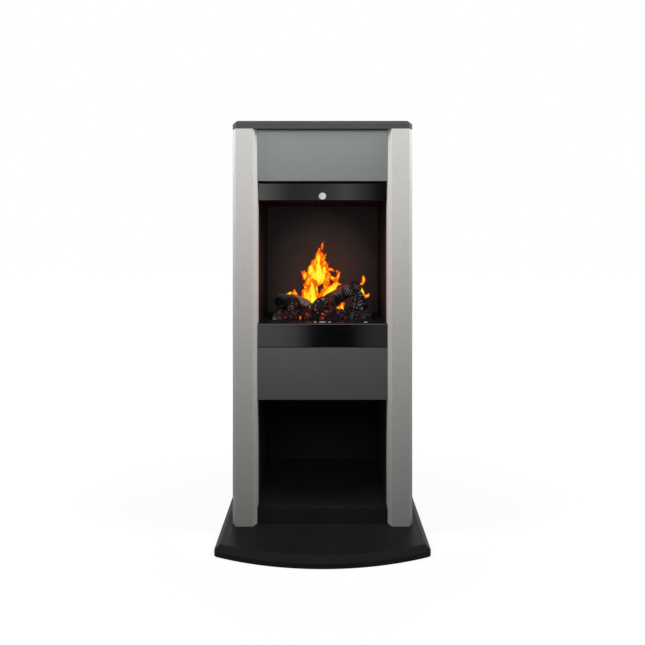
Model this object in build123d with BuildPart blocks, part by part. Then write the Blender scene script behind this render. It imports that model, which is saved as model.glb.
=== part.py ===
"""Freestanding electric fireplace with a water mist flame, a fan heater and a log store below.

Millimetres. Z is up, the front faces -Y and the floor is z = 0. The origin is the middle of the
footprint. The cabinet stands on a bowed base plate; two hollow pillars carry the board on top,
and the folded sheets between them make the firebox, the drawer bay and the log store.
"""

from build123d import *
import math
import os

os.makedirs("parts", exist_ok=True)

# Heights, stacked from the floor up to the top of the top board
pad_proud = 1.0
base_thickness = 24.0
plinth_height = 37.0
store_height = 263.0
drawer_front_height = 126.5
drawer_line = 1.5
hearth_drop = 4.5
lower_glass_height = 57.5
firebox_height = 304.0
upper_glass_height = 41.0
shadow_gap = 5.0
upper_panel_height = 124.0
top_thickness = 20.0

# Widths and depths of the cabinet and of its base plate
opening_width = 316.0
pillar_width = 60.0
pillar_depth = 45.0
pillar_wall = 2.0
pillar_bevel_width = 9.0
pillar_bevel_depth = 17.0
cabinet_depth = 365.0
base_width = 490.0
base_bow_centre = 144.0
base_bow_side = 91.0
base_rear_margin = 6.5
base_corner_radius = 14.0
base_bevel = 12.5
top_bevel = 7.0

# Sheets, glass and clearances
sheet = 1.5
glass_thickness = 4.0
lower_glass_thickness = 6.0
glass_edge_round = 3.5
fixed_gap = 0.3
body_gap = 0.3
drawer_side_gap = 0.8
slide_gap = 0.4
running_gap = 0.05
button_gap = 0.25

# Setbacks, counted from the front faces of the pillars or of the panels
panel_setback = 16.0
panel_return = 14.0
upper_glass_setback = 14.0
ledge_depth = 38.0
ledge_thickness = 2.5
ledge_lap = 6.0
firebox_depth = 278.0
rear_space = 20.0
store_depth = cabinet_depth - rear_space

# Levels that follow from the stacked heights
base_top = pad_proud + base_thickness
store_floor_z = base_top + plinth_height
drawer_z = store_floor_z + store_height
lower_glass_z = drawer_z + drawer_front_height + drawer_line
ledge_z = lower_glass_z + lower_glass_height
hearth_z = ledge_z - hearth_drop
firebox_top_z = hearth_z + firebox_height
upper_glass_top_z = firebox_top_z + upper_glass_height
upper_panel_z = upper_glass_top_z + shadow_gap
top_board_z = upper_panel_z + upper_panel_height

# Planes that follow from the widths and depths
inner_x = opening_width / 2
outer_x = inner_x + pillar_width
base_depth = base_bow_centre + cabinet_depth + base_rear_margin
front_y = base_bow_centre - base_depth / 2
back_y = front_y + cabinet_depth
panel_y = front_y + panel_setback
pillar_back_y = front_y + pillar_depth
upper_glass_y = panel_y + upper_glass_setback
ledge_back_y = panel_y + lower_glass_thickness + ledge_depth
firebox_back_y = front_y + firebox_depth
store_back_y = front_y + store_depth
sheet_half = inner_x - fixed_gap

standing = (Align.CENTER, Align.CENTER, Align.MIN)


def block(x0, x1, y0, y1, z0, z1, mode=Mode.ADD):
    """A box between two corners, put into the part that is being built."""
    with Locations(((x0 + x1) / 2, (y0 + y1) / 2, (z0 + z1) / 2)):
        Box(x1 - x0, y1 - y0, z1 - z0, mode=mode)


def rod_x(radius, x0, x1, y, z, mode=Mode.ADD):
    """A cylinder along X from x0 to x1."""
    with Locations(((x0 + x1) / 2, y, z)):
        Cylinder(radius, x1 - x0, rotation=(0, 90, 0), mode=mode)


def rod_y(radius, x, y0, y1, z, mode=Mode.ADD):
    """A cylinder along Y from y0 to y1."""
    with Locations((x, (y0 + y1) / 2, z)):
        Cylinder(radius, y1 - y0, rotation=(90, 0, 0), mode=mode)


def rod_z(radius, x, y, z0, z1, mode=Mode.ADD):
    """A cylinder along Z from z0 to z1."""
    with Locations((x, y, z0)):
        Cylinder(radius, z1 - z0, align=standing, mode=mode)


# Base plate and its pads

pad_radius = 15.0
pad_seat = 5.0
pad_inset = 45.0
base_half = base_width / 2
base_front_y = -base_depth / 2
base_side_y = front_y - base_bow_side
base_rear_y = base_depth / 2
pad_places = [
    (x, y)
    for x in (-base_half + pad_inset, base_half - pad_inset)
    for y in (base_side_y + pad_inset, base_rear_y - pad_inset)
]

with BuildPart() as base_plate:
    with BuildSketch(Plane.XY.offset(pad_proud)) as base_outline:
        with BuildLine():
            ThreePointArc((-base_half, base_side_y), (0, base_front_y), (base_half, base_side_y))
            Polyline(
                (base_half, base_side_y),
                (base_half, base_rear_y),
                (-base_half, base_rear_y),
                (-base_half, base_side_y),
            )
        make_face()
        fillet(base_outline.vertices(), base_corner_radius)
    extrude(amount=base_thickness)
    chamfer(base_plate.edges().group_by(Axis.Z)[-1], base_bevel)
    for pad_x, pad_y in pad_places:
        rod_z(pad_radius + fixed_gap, pad_x, pad_y, pad_proud, pad_proud + pad_seat, Mode.SUBTRACT)
base_plate.part.label = "base_plate"
export_step(base_plate.part, "parts/base_plate.step")

with BuildPart() as base_pads:
    for pad_x, pad_y in pad_places:
        rod_z(pad_radius, pad_x, pad_y, 0, pad_proud + pad_seat)
base_pads.part.label = "base_pads"
export_step(base_pads.part, "parts/base_pads.step")

# Pillars, side panels and inner walls, one of each on either side

side_inset = 1.0
rear_flange = 20.0
cover_screw_radius = 1.8
cover_screw_hole = 2.1
cover_screw_inset = 10.0
cover_screw_x = outer_x - side_inset - sheet - cover_screw_inset
cover_screw_margin = 30.0
cover_screw_rows = 5
cover_edge_gap = 2.0
cover_z = base_top + cover_edge_gap
cover_top_z = top_board_z - cover_edge_gap
screw_pitch = (cover_top_z - cover_z - 2 * cover_screw_margin) / (cover_screw_rows - 1)
cover_screw_z = [cover_z + cover_screw_margin + row * screw_pitch for row in range(cover_screw_rows)]

for side, sign in (("left", -1), ("right", 1)):
    with BuildPart() as pillar:
        with BuildSketch(Plane.XY.offset(base_top)):
            with BuildLine():
                Polyline(
                    (sign * outer_x, pillar_back_y),
                    (sign * outer_x, front_y + pillar_bevel_depth),
                    (sign * (outer_x - pillar_bevel_width), front_y),
                    (sign * (inner_x + pillar_bevel_width), front_y),
                    (sign * inner_x, front_y + pillar_bevel_depth),
                    (sign * inner_x, pillar_back_y),
                    close=True,
                )
            make_face()
            offset(amount=-pillar_wall, kind=Kind.INTERSECTION, mode=Mode.SUBTRACT)
        extrude(amount=top_board_z - base_top)
    pillar.part.label = f"{side}_pillar"
    export_step(pillar.part, f"parts/{side}_pillar.step")

    with BuildPart() as side_panel:
        panel_out = outer_x - side_inset
        panel_in = panel_out - sheet
        flange_in = panel_out - rear_flange
        block(
            *sorted((sign * panel_in, sign * panel_out)),
            pillar_back_y, back_y - sheet, base_top, top_board_z,
        )
        block(
            *sorted((sign * flange_in, sign * panel_in)),
            back_y - 2 * sheet, back_y - sheet, base_top, top_board_z,
        )
        for screw_z in cover_screw_z:
            rod_y(
                cover_screw_hole, sign * cover_screw_x,
                back_y - 3 * sheet, back_y, screw_z, Mode.SUBTRACT,
            )
    side_panel.part.label = f"{side}_side_panel"
    export_step(side_panel.part, f"parts/{side}_side_panel.step")

    with BuildPart() as inner_wall:
        block(
            *sorted((sign * inner_x, sign * (inner_x + sheet))),
            pillar_back_y, store_back_y + sheet, base_top, top_board_z,
        )
    inner_wall.part.label = f"{side}_inner_wall"
    export_step(inner_wall.part, f"parts/{side}_inner_wall.step")

# Top board with bevelled rim

with BuildPart() as top_board:
    with BuildSketch(Plane.XY.offset(top_board_z)):
        with BuildLine():
            Polyline(
                (-outer_x, back_y),
                (-outer_x, front_y + pillar_bevel_depth),
                (-outer_x + pillar_bevel_width, front_y),
                (outer_x - pillar_bevel_width, front_y),
                (outer_x, front_y + pillar_bevel_depth),
                (outer_x, back_y),
                close=True,
            )
        make_face()
    extrude(amount=top_thickness)
    chamfer(top_board.edges().group_by(Axis.Z)[-1], top_bevel)
top_board.part.label = "top_board"
export_step(top_board.part, "parts/top_board.step")

# Fixed front above the firebox: folded panel, black glass strip and a plain round badge

upper_panel_half = inner_x - fixed_gap
with BuildPart() as upper_front_panel:
    block(
        -upper_panel_half, upper_panel_half,
        panel_y, panel_y + panel_return, upper_panel_z, top_board_z,
    )
    block(
        -upper_panel_half + sheet, upper_panel_half - sheet,
        panel_y + sheet, panel_y + panel_return, upper_panel_z + sheet, top_board_z - sheet,
        Mode.SUBTRACT,
    )
upper_front_panel.part.label = "upper_front_panel"
export_step(upper_front_panel.part, "parts/upper_front_panel.step")

glass_polish = 0.6
with BuildPart() as upper_glass:
    block(
        -sheet_half, sheet_half,
        upper_glass_y, upper_glass_y + glass_thickness, firebox_top_z, upper_glass_top_z,
    )
    chamfer(upper_glass.edges().filter_by(Axis.X).group_by(Axis.Y)[0], glass_polish)
upper_glass.part.label = "upper_glass"
export_step(upper_glass.part, "parts/upper_glass.step")

badge_radius = 9.0
badge_ring_width = 1.4
badge_depth = 2.4
badge_ring_depth = 1.6
badge_dome = 0.8
badge_z = firebox_top_z + badge_radius + badge_ring_width
with BuildPart() as badge_ring:
    rod_y(badge_radius + badge_ring_width, 0, upper_glass_y - badge_ring_depth, upper_glass_y, badge_z)
    rod_y(
        badge_radius + running_gap, 0,
        upper_glass_y - badge_ring_depth, upper_glass_y, badge_z, Mode.SUBTRACT,
    )
badge_ring.part.label = "badge_ring"
export_step(badge_ring.part, "parts/badge_ring.step")

with BuildPart() as badge_disc:
    rod_y(badge_radius, 0, upper_glass_y - badge_depth, upper_glass_y, badge_z)
    chamfer(badge_disc.edges().group_by(Axis.Y)[0], badge_dome)
badge_disc.part.label = "badge_disc"
export_step(badge_disc.part, "parts/badge_disc.step")

# Lower glass strip with a rounded top edge, and the control ledge behind it

lower_glass_back_y = panel_y + lower_glass_thickness
with BuildPart() as lower_glass:
    block(-sheet_half, sheet_half, panel_y, lower_glass_back_y, lower_glass_z, ledge_z)
    fillet(
        lower_glass.edges().filter_by(Axis.X).group_by(Axis.Y)[0].group_by(Axis.Z)[-1],
        glass_edge_round,
    )
    chamfer(
        lower_glass.edges().filter_by(Axis.X).group_by(Axis.Y)[0].group_by(Axis.Z)[0], glass_polish
    )
lower_glass.part.label = "lower_glass"
export_step(lower_glass.part, "parts/lower_glass.step")

# Buttons stand in a row on the ledge: a long one between two round ones
button_setback = 36.0
button_y = front_y + button_setback
button_pitch = 17.5
button_radius = 3.5
power_half_length = 8.0
power_radius = 4.0
button_proud = 1.5
button_travel = 1.0
button_flange = 1.2
button_flange_thickness = 1.5
button_stem_radius = 1.5
switch_height = 4.0
switch_side = 6.0
switch_clearance = 0.2
indicator_x = 106.5
indicator_radius = 4.0
indicator_proud = 0.6
board_thickness = 1.6
board_drop = 16.4
board_x0 = -45.0
board_x1 = 122.0
board_front_margin = 4.0
board_rear_margin = 2.5
standoff_radius = 3.0
standoff_inset = 5.0
ledge_under_z = ledge_z - ledge_thickness
board_top_z = ledge_under_z - board_drop
board_y0 = lower_glass_back_y + sheet + board_front_margin
board_y1 = ledge_back_y - ledge_lap - board_rear_margin
standoff_places = [
    (x, y)
    for x in (board_x0 + standoff_inset, board_x1 - standoff_inset)
    for y in (board_y0 + standoff_inset, board_y1 - standoff_inset)
]


def pill(half_length, radius, z0, z1, mode=Mode.ADD):
    """An upright slug with rounded ends at the middle of the button row, its long side along X."""
    with BuildSketch(Plane.XY.offset(z0)) as outline:
        with Locations((0, button_y)):
            SlotOverall(2 * half_length, 2 * radius)
    extrude(outline.sketch, amount=z1 - z0, mode=mode)


with BuildPart() as control_ledge:
    block(-sheet_half, sheet_half, lower_glass_back_y, ledge_back_y, ledge_under_z, ledge_z)
    block(
        -sheet_half, sheet_half,
        lower_glass_back_y, lower_glass_back_y + sheet, lower_glass_z, ledge_under_z,
    )
    block(-sheet_half, sheet_half, ledge_back_y - ledge_thickness, ledge_back_y, hearth_z, ledge_under_z)
    for standoff_x, standoff_y in standoff_places:
        rod_z(standoff_radius, standoff_x, standoff_y, board_top_z, ledge_under_z)
    for button_x in (-button_pitch, button_pitch):
        rod_z(
            button_radius + button_gap, button_x, button_y, ledge_under_z, ledge_z, Mode.SUBTRACT
        )
    pill(
        power_half_length + button_gap, power_radius + button_gap,
        ledge_under_z, ledge_z, Mode.SUBTRACT,
    )
    rod_z(
        indicator_radius + fixed_gap, indicator_x, button_y, ledge_under_z, ledge_z, Mode.SUBTRACT
    )
control_ledge.part.label = "control_ledge"
export_step(control_ledge.part, "parts/control_ledge.step")

stem_z = board_top_z + switch_height + button_travel + switch_clearance
flange_top_z = ledge_under_z - body_gap
button_top_z = ledge_z + button_proud
button_crown = 0.5
with BuildPart() as power_button:
    pill(power_half_length, power_radius, flange_top_z, button_top_z)
    chamfer(power_button.edges().group_by(Axis.Z)[-1], button_crown)
    pill(
        power_half_length + button_flange, power_radius + button_flange,
        flange_top_z - button_flange_thickness, flange_top_z,
    )
    rod_z(button_stem_radius, 0, button_y, stem_z, flange_top_z - button_flange_thickness)
power_button.part.label = "power_button"
export_step(power_button.part, "parts/power_button.step")

for button_name, button_x in (("flame_button", -button_pitch), ("heat_button", button_pitch)):
    with BuildPart() as round_button:
        rod_z(button_radius, button_x, button_y, flange_top_z, button_top_z)
        chamfer(round_button.edges().group_by(Axis.Z)[-1], button_crown)
        rod_z(
            button_radius + button_flange, button_x, button_y,
            flange_top_z - button_flange_thickness, flange_top_z,
        )
        rod_z(button_stem_radius, button_x, button_y, stem_z, flange_top_z - button_flange_thickness)
    round_button.part.label = button_name
    export_step(round_button.part, f"parts/{button_name}.step")

with BuildPart() as indicator_lens:
    rod_z(indicator_radius, indicator_x, button_y, ledge_under_z, ledge_z + indicator_proud)
    chamfer(indicator_lens.edges().group_by(Axis.Z)[-1], indicator_proud)
    rod_z(
        indicator_radius + button_flange, indicator_x, button_y,
        ledge_under_z - button_flange_thickness, ledge_under_z,
    )
indicator_lens.part.label = "indicator_lens"
export_step(indicator_lens.part, "parts/indicator_lens.step")

with BuildPart() as control_board:
    block(board_x0, board_x1, board_y0, board_y1, board_top_z - board_thickness, board_top_z)
    for button_x in (-button_pitch, 0, button_pitch):
        block(
            button_x - switch_side / 2, button_x + switch_side / 2,
            button_y - switch_side / 2, button_y + switch_side / 2,
            board_top_z, board_top_z + switch_height,
        )
    rod_z(indicator_radius, indicator_x, button_y, board_top_z, board_top_z + 2 * switch_height)
control_board.part.label = "control_board"
export_step(control_board.part, "parts/control_board.step")

# Firebox: floor, back and ceiling between the inner walls

slot_half_length = 110.0
slot_width = 20.0
slot_from_back = 37.0
slot_y = firebox_back_y - slot_from_back
window_half_length = 105.0
window_setback = 130.0
window_y0 = front_y + window_setback
window_depth = 58.0
duct_wall = 1.5

with BuildPart() as firebox_floor:
    block(-sheet_half, sheet_half, ledge_back_y - ledge_lap, firebox_back_y, hearth_z - sheet, hearth_z)
    block(
        -window_half_length, window_half_length,
        window_y0, window_y0 + window_depth, hearth_z - sheet, hearth_z, Mode.SUBTRACT,
    )
    block(
        -slot_half_length, slot_half_length,
        slot_y - slot_width / 2, slot_y + slot_width / 2, hearth_z - sheet, hearth_z, Mode.SUBTRACT,
    )
firebox_floor.part.label = "firebox_floor"
export_step(firebox_floor.part, "parts/firebox_floor.step")

with BuildPart() as firebox_back:
    block(
        -sheet_half, sheet_half,
        firebox_back_y, firebox_back_y + sheet, hearth_z - sheet, firebox_top_z,
    )
firebox_back.part.label = "firebox_back"
export_step(firebox_back.part, "parts/firebox_back.step")

outlet_side_margin = 46.0
outlet_half_length = inner_x - outlet_side_margin
outlet_depth = 34.0
outlet_from_glass = 10.0
ceiling_y0 = upper_glass_y + glass_thickness
outlet_y0 = ceiling_y0 + outlet_from_glass
with BuildPart() as firebox_ceiling:
    block(
        -sheet_half, sheet_half,
        ceiling_y0, firebox_back_y + sheet, firebox_top_z, firebox_top_z + sheet,
    )
    block(
        -sheet_half, sheet_half,
        ceiling_y0, ceiling_y0 + sheet, firebox_top_z + sheet, upper_glass_top_z,
    )
    block(
        -outlet_half_length, outlet_half_length,
        outlet_y0, outlet_y0 + outlet_depth, firebox_top_z, firebox_top_z + sheet, Mode.SUBTRACT,
    )
firebox_ceiling.part.label = "firebox_ceiling"
export_step(firebox_ceiling.part, "parts/firebox_ceiling.step")

# Warm air outlet: a slotted plate under the opening in the ceiling

outlet_lap = 5.0
louvre_width = 10.0
louvre_pitch = 16.0
louvre_count = 13
louvre_end_margin = 3.0
with BuildPart() as outlet_grille:
    block(
        -outlet_half_length - outlet_lap, outlet_half_length + outlet_lap,
        outlet_y0 - outlet_lap, outlet_y0 + outlet_depth + outlet_lap,
        firebox_top_z - sheet, firebox_top_z,
    )
    with Locations((0, outlet_y0 + outlet_depth / 2, firebox_top_z - sheet / 2)):
        with GridLocations(louvre_pitch, 1, louvre_count, 1):
            Box(louvre_width, outlet_depth - 2 * louvre_end_margin, sheet, mode=Mode.SUBTRACT)
outlet_grille.part.label = "outlet_grille"
export_step(outlet_grille.part, "parts/outlet_grille.step")

# Log store below: floor with its front and rear folds, back and ceiling

with BuildPart() as store_floor:
    block(-sheet_half, sheet_half, panel_y, store_back_y, store_floor_z - sheet, store_floor_z)
    block(-sheet_half, sheet_half, panel_y, panel_y + sheet, base_top, store_floor_z - sheet)
    block(-sheet_half, sheet_half, store_back_y - sheet, store_back_y, base_top, store_floor_z - sheet)
store_floor.part.label = "store_floor"
export_step(store_floor.part, "parts/store_floor.step")

with BuildPart() as store_back:
    block(-sheet_half, sheet_half, store_back_y, store_back_y + sheet, base_top, drawer_z + sheet)
store_back.part.label = "store_back"
export_step(store_back.part, "parts/store_back.step")

store_ceiling_gap = 2.0
store_ceiling_y0 = panel_y + panel_return + store_ceiling_gap
with BuildPart() as store_ceiling:
    block(-sheet_half, sheet_half, store_ceiling_y0, store_back_y, drawer_z, drawer_z + sheet)
store_ceiling.part.label = "store_ceiling"
export_step(store_ceiling.part, "parts/store_ceiling.step")

# Drawer bay: fixed channels on the inner walls, and the drawer that runs in them

shelf_lift = 5.0
shelf_z = drawer_z + shelf_lift
channel_wall = 2.0
channel_lip = 9.0
channel_front_gap = 3.0
channel_back_gap = 4.0
slide_back_gap = 8.0
slide_height = 23.0
slide_front_gap = 22.5
slide_thickness = 16.6
slide_lift = 7.0
shelf_upstand = 30.0
drawer_rear_space = 37.0
drawer_back_y = back_y - drawer_rear_space
slide_z = shelf_z + slide_lift
channel_z = slide_z - slide_gap - channel_wall
channel_top_z = slide_z + slide_height + slide_gap + channel_wall
channel_y0 = pillar_back_y + channel_front_gap
channel_y1 = drawer_back_y - channel_back_gap
slide_out_x = inner_x - channel_wall - slide_gap
shelf_half = slide_out_x - slide_thickness

for side, sign in (("left", -1), ("right", 1)):
    with BuildPart() as runner:
        web = sorted((sign * (inner_x - channel_wall), sign * inner_x))
        lip = sorted((sign * (inner_x - channel_wall - channel_lip), sign * (inner_x - channel_wall)))
        block(*web, channel_y0, channel_y1, channel_z, channel_top_z)
        block(*lip, channel_y0, channel_y1, channel_z, channel_z + channel_wall)
        block(*lip, channel_y0, channel_y1, channel_top_z - channel_wall, channel_top_z)
    runner.part.label = f"{side}_runner"
    export_step(runner.part, f"parts/{side}_runner.step")

drawer_half = inner_x - drawer_side_gap
with BuildPart() as drawer_front:
    block(
        -drawer_half, drawer_half,
        panel_y, panel_y + panel_return, drawer_z, drawer_z + drawer_front_height,
    )
    block(
        -drawer_half + sheet, drawer_half - sheet,
        panel_y + sheet, panel_y + panel_return,
        drawer_z + sheet, drawer_z + drawer_front_height - sheet, Mode.SUBTRACT,
    )
drawer_front.part.label = "drawer_front"
export_step(drawer_front.part, "parts/drawer_front.step")

with BuildPart() as drawer_shelf:
    block(-shelf_half, shelf_half, panel_y + sheet, drawer_back_y, shelf_z, shelf_z + sheet)
    for sign in (-1, 1):
        block(
            *sorted((sign * (shelf_half - sheet), sign * shelf_half)),
            panel_y + sheet, drawer_back_y, shelf_z + sheet, shelf_z + shelf_upstand,
        )
drawer_shelf.part.label = "drawer_shelf"
export_step(drawer_shelf.part, "parts/drawer_shelf.step")

slide_y0 = panel_y + sheet + slide_front_gap
slide_y1 = drawer_back_y - slide_back_gap
with BuildPart() as drawer_slides:
    for sign in (-1, 1):
        block(
            *sorted((sign * shelf_half, sign * slide_out_x)),
            slide_y0, slide_y1, slide_z, slide_z + slide_height,
        )
drawer_slides.part.label = "drawer_slides"
export_step(drawer_slides.part, "parts/drawer_slides.step")

# Water system in the drawer: sump with a shelf for the tank, the mist unit and the tank with its cap

sump_wall = 2.5
sump_height = 26.0
sump_side_gap = 1.0
sump_front_gap = 2.5
sump_back_gap = 3.0
sump_half = shelf_half - sheet - sump_side_gap
sump_y0 = panel_y + sheet + sump_front_gap
sump_y1 = drawer_back_y - sump_back_gap
sump_z = shelf_z + sheet
sump_floor_z = sump_z + sump_wall
tank_shelf_lift = 15.5
tank_shelf_z = sump_floor_z + tank_shelf_lift
tank_side_margin = 11.5
tank_half = sump_half - tank_side_margin
tank_front_gap = 6.0
tank_y0 = sump_y0 + tank_front_gap
tank_depth = 150.0
tank_y1 = tank_y0 + tank_depth
tank_wall = 2.5
tank_top_clearance = 11.5
tank_top_z = drawer_z + drawer_front_height - tank_top_clearance
neck_radius = 14.0
cap_radius = 18.0
cap_wall = 2.5
cap_hole_gap = 2.0
neck_length = 8.5
neck_y = tank_y0 + tank_depth / 2

with BuildPart() as sump:
    block(-sump_half, sump_half, sump_y0, sump_y1, sump_z, sump_z + sump_height)
    block(
        -sump_half + sump_wall, sump_half - sump_wall,
        sump_y0 + sump_wall, sump_y1 - sump_wall, sump_floor_z, sump_z + sump_height, Mode.SUBTRACT,
    )
    block(
        -sump_half + sump_wall, sump_half - sump_wall,
        sump_y0 + sump_wall, tank_y1 + sump_wall, tank_shelf_z - sump_wall, tank_shelf_z,
    )
    rod_z(cap_radius + cap_hole_gap, 0, neck_y, tank_shelf_z - sump_wall, tank_shelf_z, Mode.SUBTRACT)
sump.part.label = "sump"
export_step(sump.part, "parts/sump.step")

tank_round = 8.0
with BuildPart() as water_tank:
    block(-tank_half, tank_half, tank_y0, tank_y1, tank_shelf_z, tank_top_z)
    fillet(water_tank.edges().filter_by(Axis.Z), tank_round)
    chamfer(water_tank.edges().group_by(Axis.Z)[-1], tank_round / 2)
    block(
        -tank_half + tank_round, tank_half - tank_round,
        tank_y0 + tank_round, tank_y1 - tank_round,
        tank_shelf_z + tank_wall, tank_top_z - tank_wall, Mode.SUBTRACT,
    )
    rod_z(neck_radius, 0, neck_y, tank_shelf_z - neck_length, tank_shelf_z)
    rod_z(
        neck_radius - tank_wall, 0, neck_y,
        tank_shelf_z - neck_length, tank_shelf_z + tank_wall, Mode.SUBTRACT,
    )
water_tank.part.label = "water_tank"
export_step(water_tank.part, "parts/water_tank.step")

cap_bottom_z = tank_shelf_z - neck_length - fixed_gap - cap_wall
with BuildPart() as tank_cap:
    rod_z(cap_radius, 0, neck_y, cap_bottom_z, tank_shelf_z - fixed_gap)
    rod_z(
        neck_radius + fixed_gap, 0, neck_y,
        cap_bottom_z + cap_wall, tank_shelf_z - fixed_gap, Mode.SUBTRACT,
    )
tank_cap.part.label = "tank_cap"
export_step(tank_cap.part, "parts/tank_cap.step")

mist_half = 60.0
mist_depth = 46.0
mist_height = 14.0
disc_count = 5
disc_pitch = 22.0
disc_radius = 9.0
disc_height = 2.0
with BuildPart() as mist_unit:
    block(
        -mist_half, mist_half,
        slot_y - mist_depth / 2, slot_y + mist_depth / 2, sump_floor_z, sump_floor_z + mist_height,
    )
    for disc in range(disc_count):
        disc_x = (disc - (disc_count - 1) / 2) * disc_pitch
        rod_z(
            disc_radius, disc_x, slot_y,
            sump_floor_z + mist_height, sump_floor_z + mist_height + disc_height,
        )
mist_unit.part.label = "mist_unit"
export_step(mist_unit.part, "parts/mist_unit.step")

# Mist duct: a tapered chimney from above the sump to the slot in the firebox floor

duct_foot_half = 115.0
duct_foot_depth = 60.0
duct_clearance = 4.5
duct_z0 = sump_z + sump_height + duct_clearance
duct_z1 = hearth_z - sheet


def duct_loft(wall, mode):
    """The duct's four-sided taper, smaller by wall on every side."""
    with BuildSketch(Plane.XY.offset(duct_z0)) as foot:
        with Locations((0, slot_y)):
            Rectangle(2 * (duct_foot_half - wall), duct_foot_depth - 2 * wall)
    with BuildSketch(Plane.XY.offset(duct_z1)) as mouth:
        with Locations((0, slot_y)):
            Rectangle(2 * (slot_half_length + duct_wall - wall), slot_width + 2 * (duct_wall - wall))
    loft([foot.sketch, mouth.sketch], mode=mode)


with BuildPart() as mist_duct:
    duct_loft(0, Mode.ADD)
    duct_loft(duct_wall, Mode.SUBTRACT)
mist_duct.part.label = "mist_duct"
export_step(mist_duct.part, "parts/mist_duct.step")

# Lamps that light the ember bed from below, on a bracket across the bay

lamp_bracket_drop = 34.0
lamp_bracket_z = hearth_z - sheet - lamp_bracket_drop
bracket_upstand = 12.0
lamp_count = 5
lamp_pitch = 44.0
lamp_radius = 16.0
lamp_height = 14.0
lamp_lens_radius = 12.0
lamp_lens_height = 9.0
window_y = window_y0 + window_depth / 2
bracket_half_depth = 26.0
with BuildPart() as lamp_bracket:
    block(
        -sheet_half, sheet_half,
        window_y - bracket_half_depth, window_y + bracket_half_depth,
        lamp_bracket_z - sheet, lamp_bracket_z,
    )
    for sign in (-1, 1):
        block(
            *sorted((sign * (sheet_half - sheet), sign * sheet_half)),
            window_y - bracket_half_depth, window_y + bracket_half_depth,
            lamp_bracket_z, lamp_bracket_z + bracket_upstand,
        )
lamp_bracket.part.label = "lamp_bracket"
export_step(lamp_bracket.part, "parts/lamp_bracket.step")

with BuildPart() as lamp_modules:
    for lamp in range(lamp_count):
        lamp_x = (lamp - (lamp_count - 1) / 2) * lamp_pitch
        rod_z(lamp_radius, lamp_x, window_y, lamp_bracket_z, lamp_bracket_z + lamp_height)
        rod_z(
            lamp_lens_radius, lamp_x, window_y,
            lamp_bracket_z + lamp_height, lamp_bracket_z + lamp_height + lamp_lens_height,
        )
lamp_modules.part.label = "lamp_modules"
export_step(lamp_modules.part, "parts/lamp_modules.step")

filter_thickness = 2.0
filter_lap = 6.0
with BuildPart() as colour_filter:
    block(
        -window_half_length - filter_lap, window_half_length + filter_lap,
        window_y0 - filter_lap, window_y0 + window_depth + filter_lap,
        hearth_z - sheet - filter_thickness, hearth_z - sheet,
    )
colour_filter.part.label = "colour_filter"
export_step(colour_filter.part, "parts/colour_filter.step")

# Log set that lifts off the hearth: ember bed with sockets, and the logs that lie in them

bed_half = 137.0
bed_setback = 107.0
bed_y0 = front_y + bed_setback
bed_depth = 116.0
bed_foot_height = 14.0
bed_crown_height = 9.0
bed_corner = 30.0
bed_foot_slope = 18.0
bed_crown_slope = 40.0
bed_step = 13.0
bed_z = hearth_z + body_gap
pile_height = 100.0
log_radius = 20.0


def log_solid(foot, tip, swells, extra=0.0):
    """A log from foot to tip: straight-sided sections through circles, each a share of log_radius."""
    along = Vector(*tip) - Vector(*foot)
    with BuildPart() as log:
        for place, swell in enumerate(swells):
            centre = Vector(*foot) + along * (place / (len(swells) - 1))
            with BuildSketch(Plane(origin=centre, z_dir=along)):
                Circle(swell * log_radius + extra)
        loft(ruled=True)
    return log.part


def from_bed(across, back, up):
    """A point by its shares of the bed's half width and depth and of the height of the pile."""
    return (across * bed_half, bed_y0 + back * bed_depth, hearth_z + up * pile_height)


left_log_line = (from_bed(-0.526, 0.112, 0.39), from_bed(-0.847, 0.681, 0.45))
left_log_swells = (0.925, 1.05, 1.025, 0.9)
long_log_line = (from_bed(-0.19, 0.129, 0.24), from_bed(0.708, 0.69, 0.84))
long_log_swells = (0.8, 1.025, 0.975, 0.9, 0.9, 0.85)
ash_log_line = (from_bed(-0.628, 0.534, 0.52), from_bed(-0.248, 0.379, 0.33))
ash_log_swells = (0.6, 0.7, 0.65, 0.55)
right_log_line = (from_bed(0.737, 0.121, 0.28), from_bed(0.672, 0.569, 0.62))
right_log_swells = (0.775, 0.875, 0.8, 0.725)

left_log_room = log_solid(*left_log_line, left_log_swells, fixed_gap)
long_log_room = log_solid(*long_log_line, long_log_swells, fixed_gap)
ash_log_room = log_solid(*ash_log_line, ash_log_swells, fixed_gap)
right_log_room = log_solid(*right_log_line, right_log_swells, fixed_gap)

with BuildPart() as left_log:
    add(log_solid(*left_log_line, left_log_swells))
left_log.part.label = "left_log"
export_step(left_log.part, "parts/left_log.step")

with BuildPart() as long_log:
    add(log_solid(*long_log_line, long_log_swells))
long_log.part.label = "long_log"
export_step(long_log.part, "parts/long_log.step")

with BuildPart() as ash_log:
    add(log_solid(*ash_log_line, ash_log_swells))
    add(left_log_room, mode=Mode.SUBTRACT)
    add(long_log_room, mode=Mode.SUBTRACT)
ash_log.part.label = "ash_log"
export_step(ash_log.part, "parts/ash_log.step")

with BuildPart() as right_log:
    add(log_solid(*right_log_line, right_log_swells))
    add(long_log_room, mode=Mode.SUBTRACT)
right_log.part.label = "right_log"
export_step(right_log.part, "parts/right_log.step")

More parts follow.
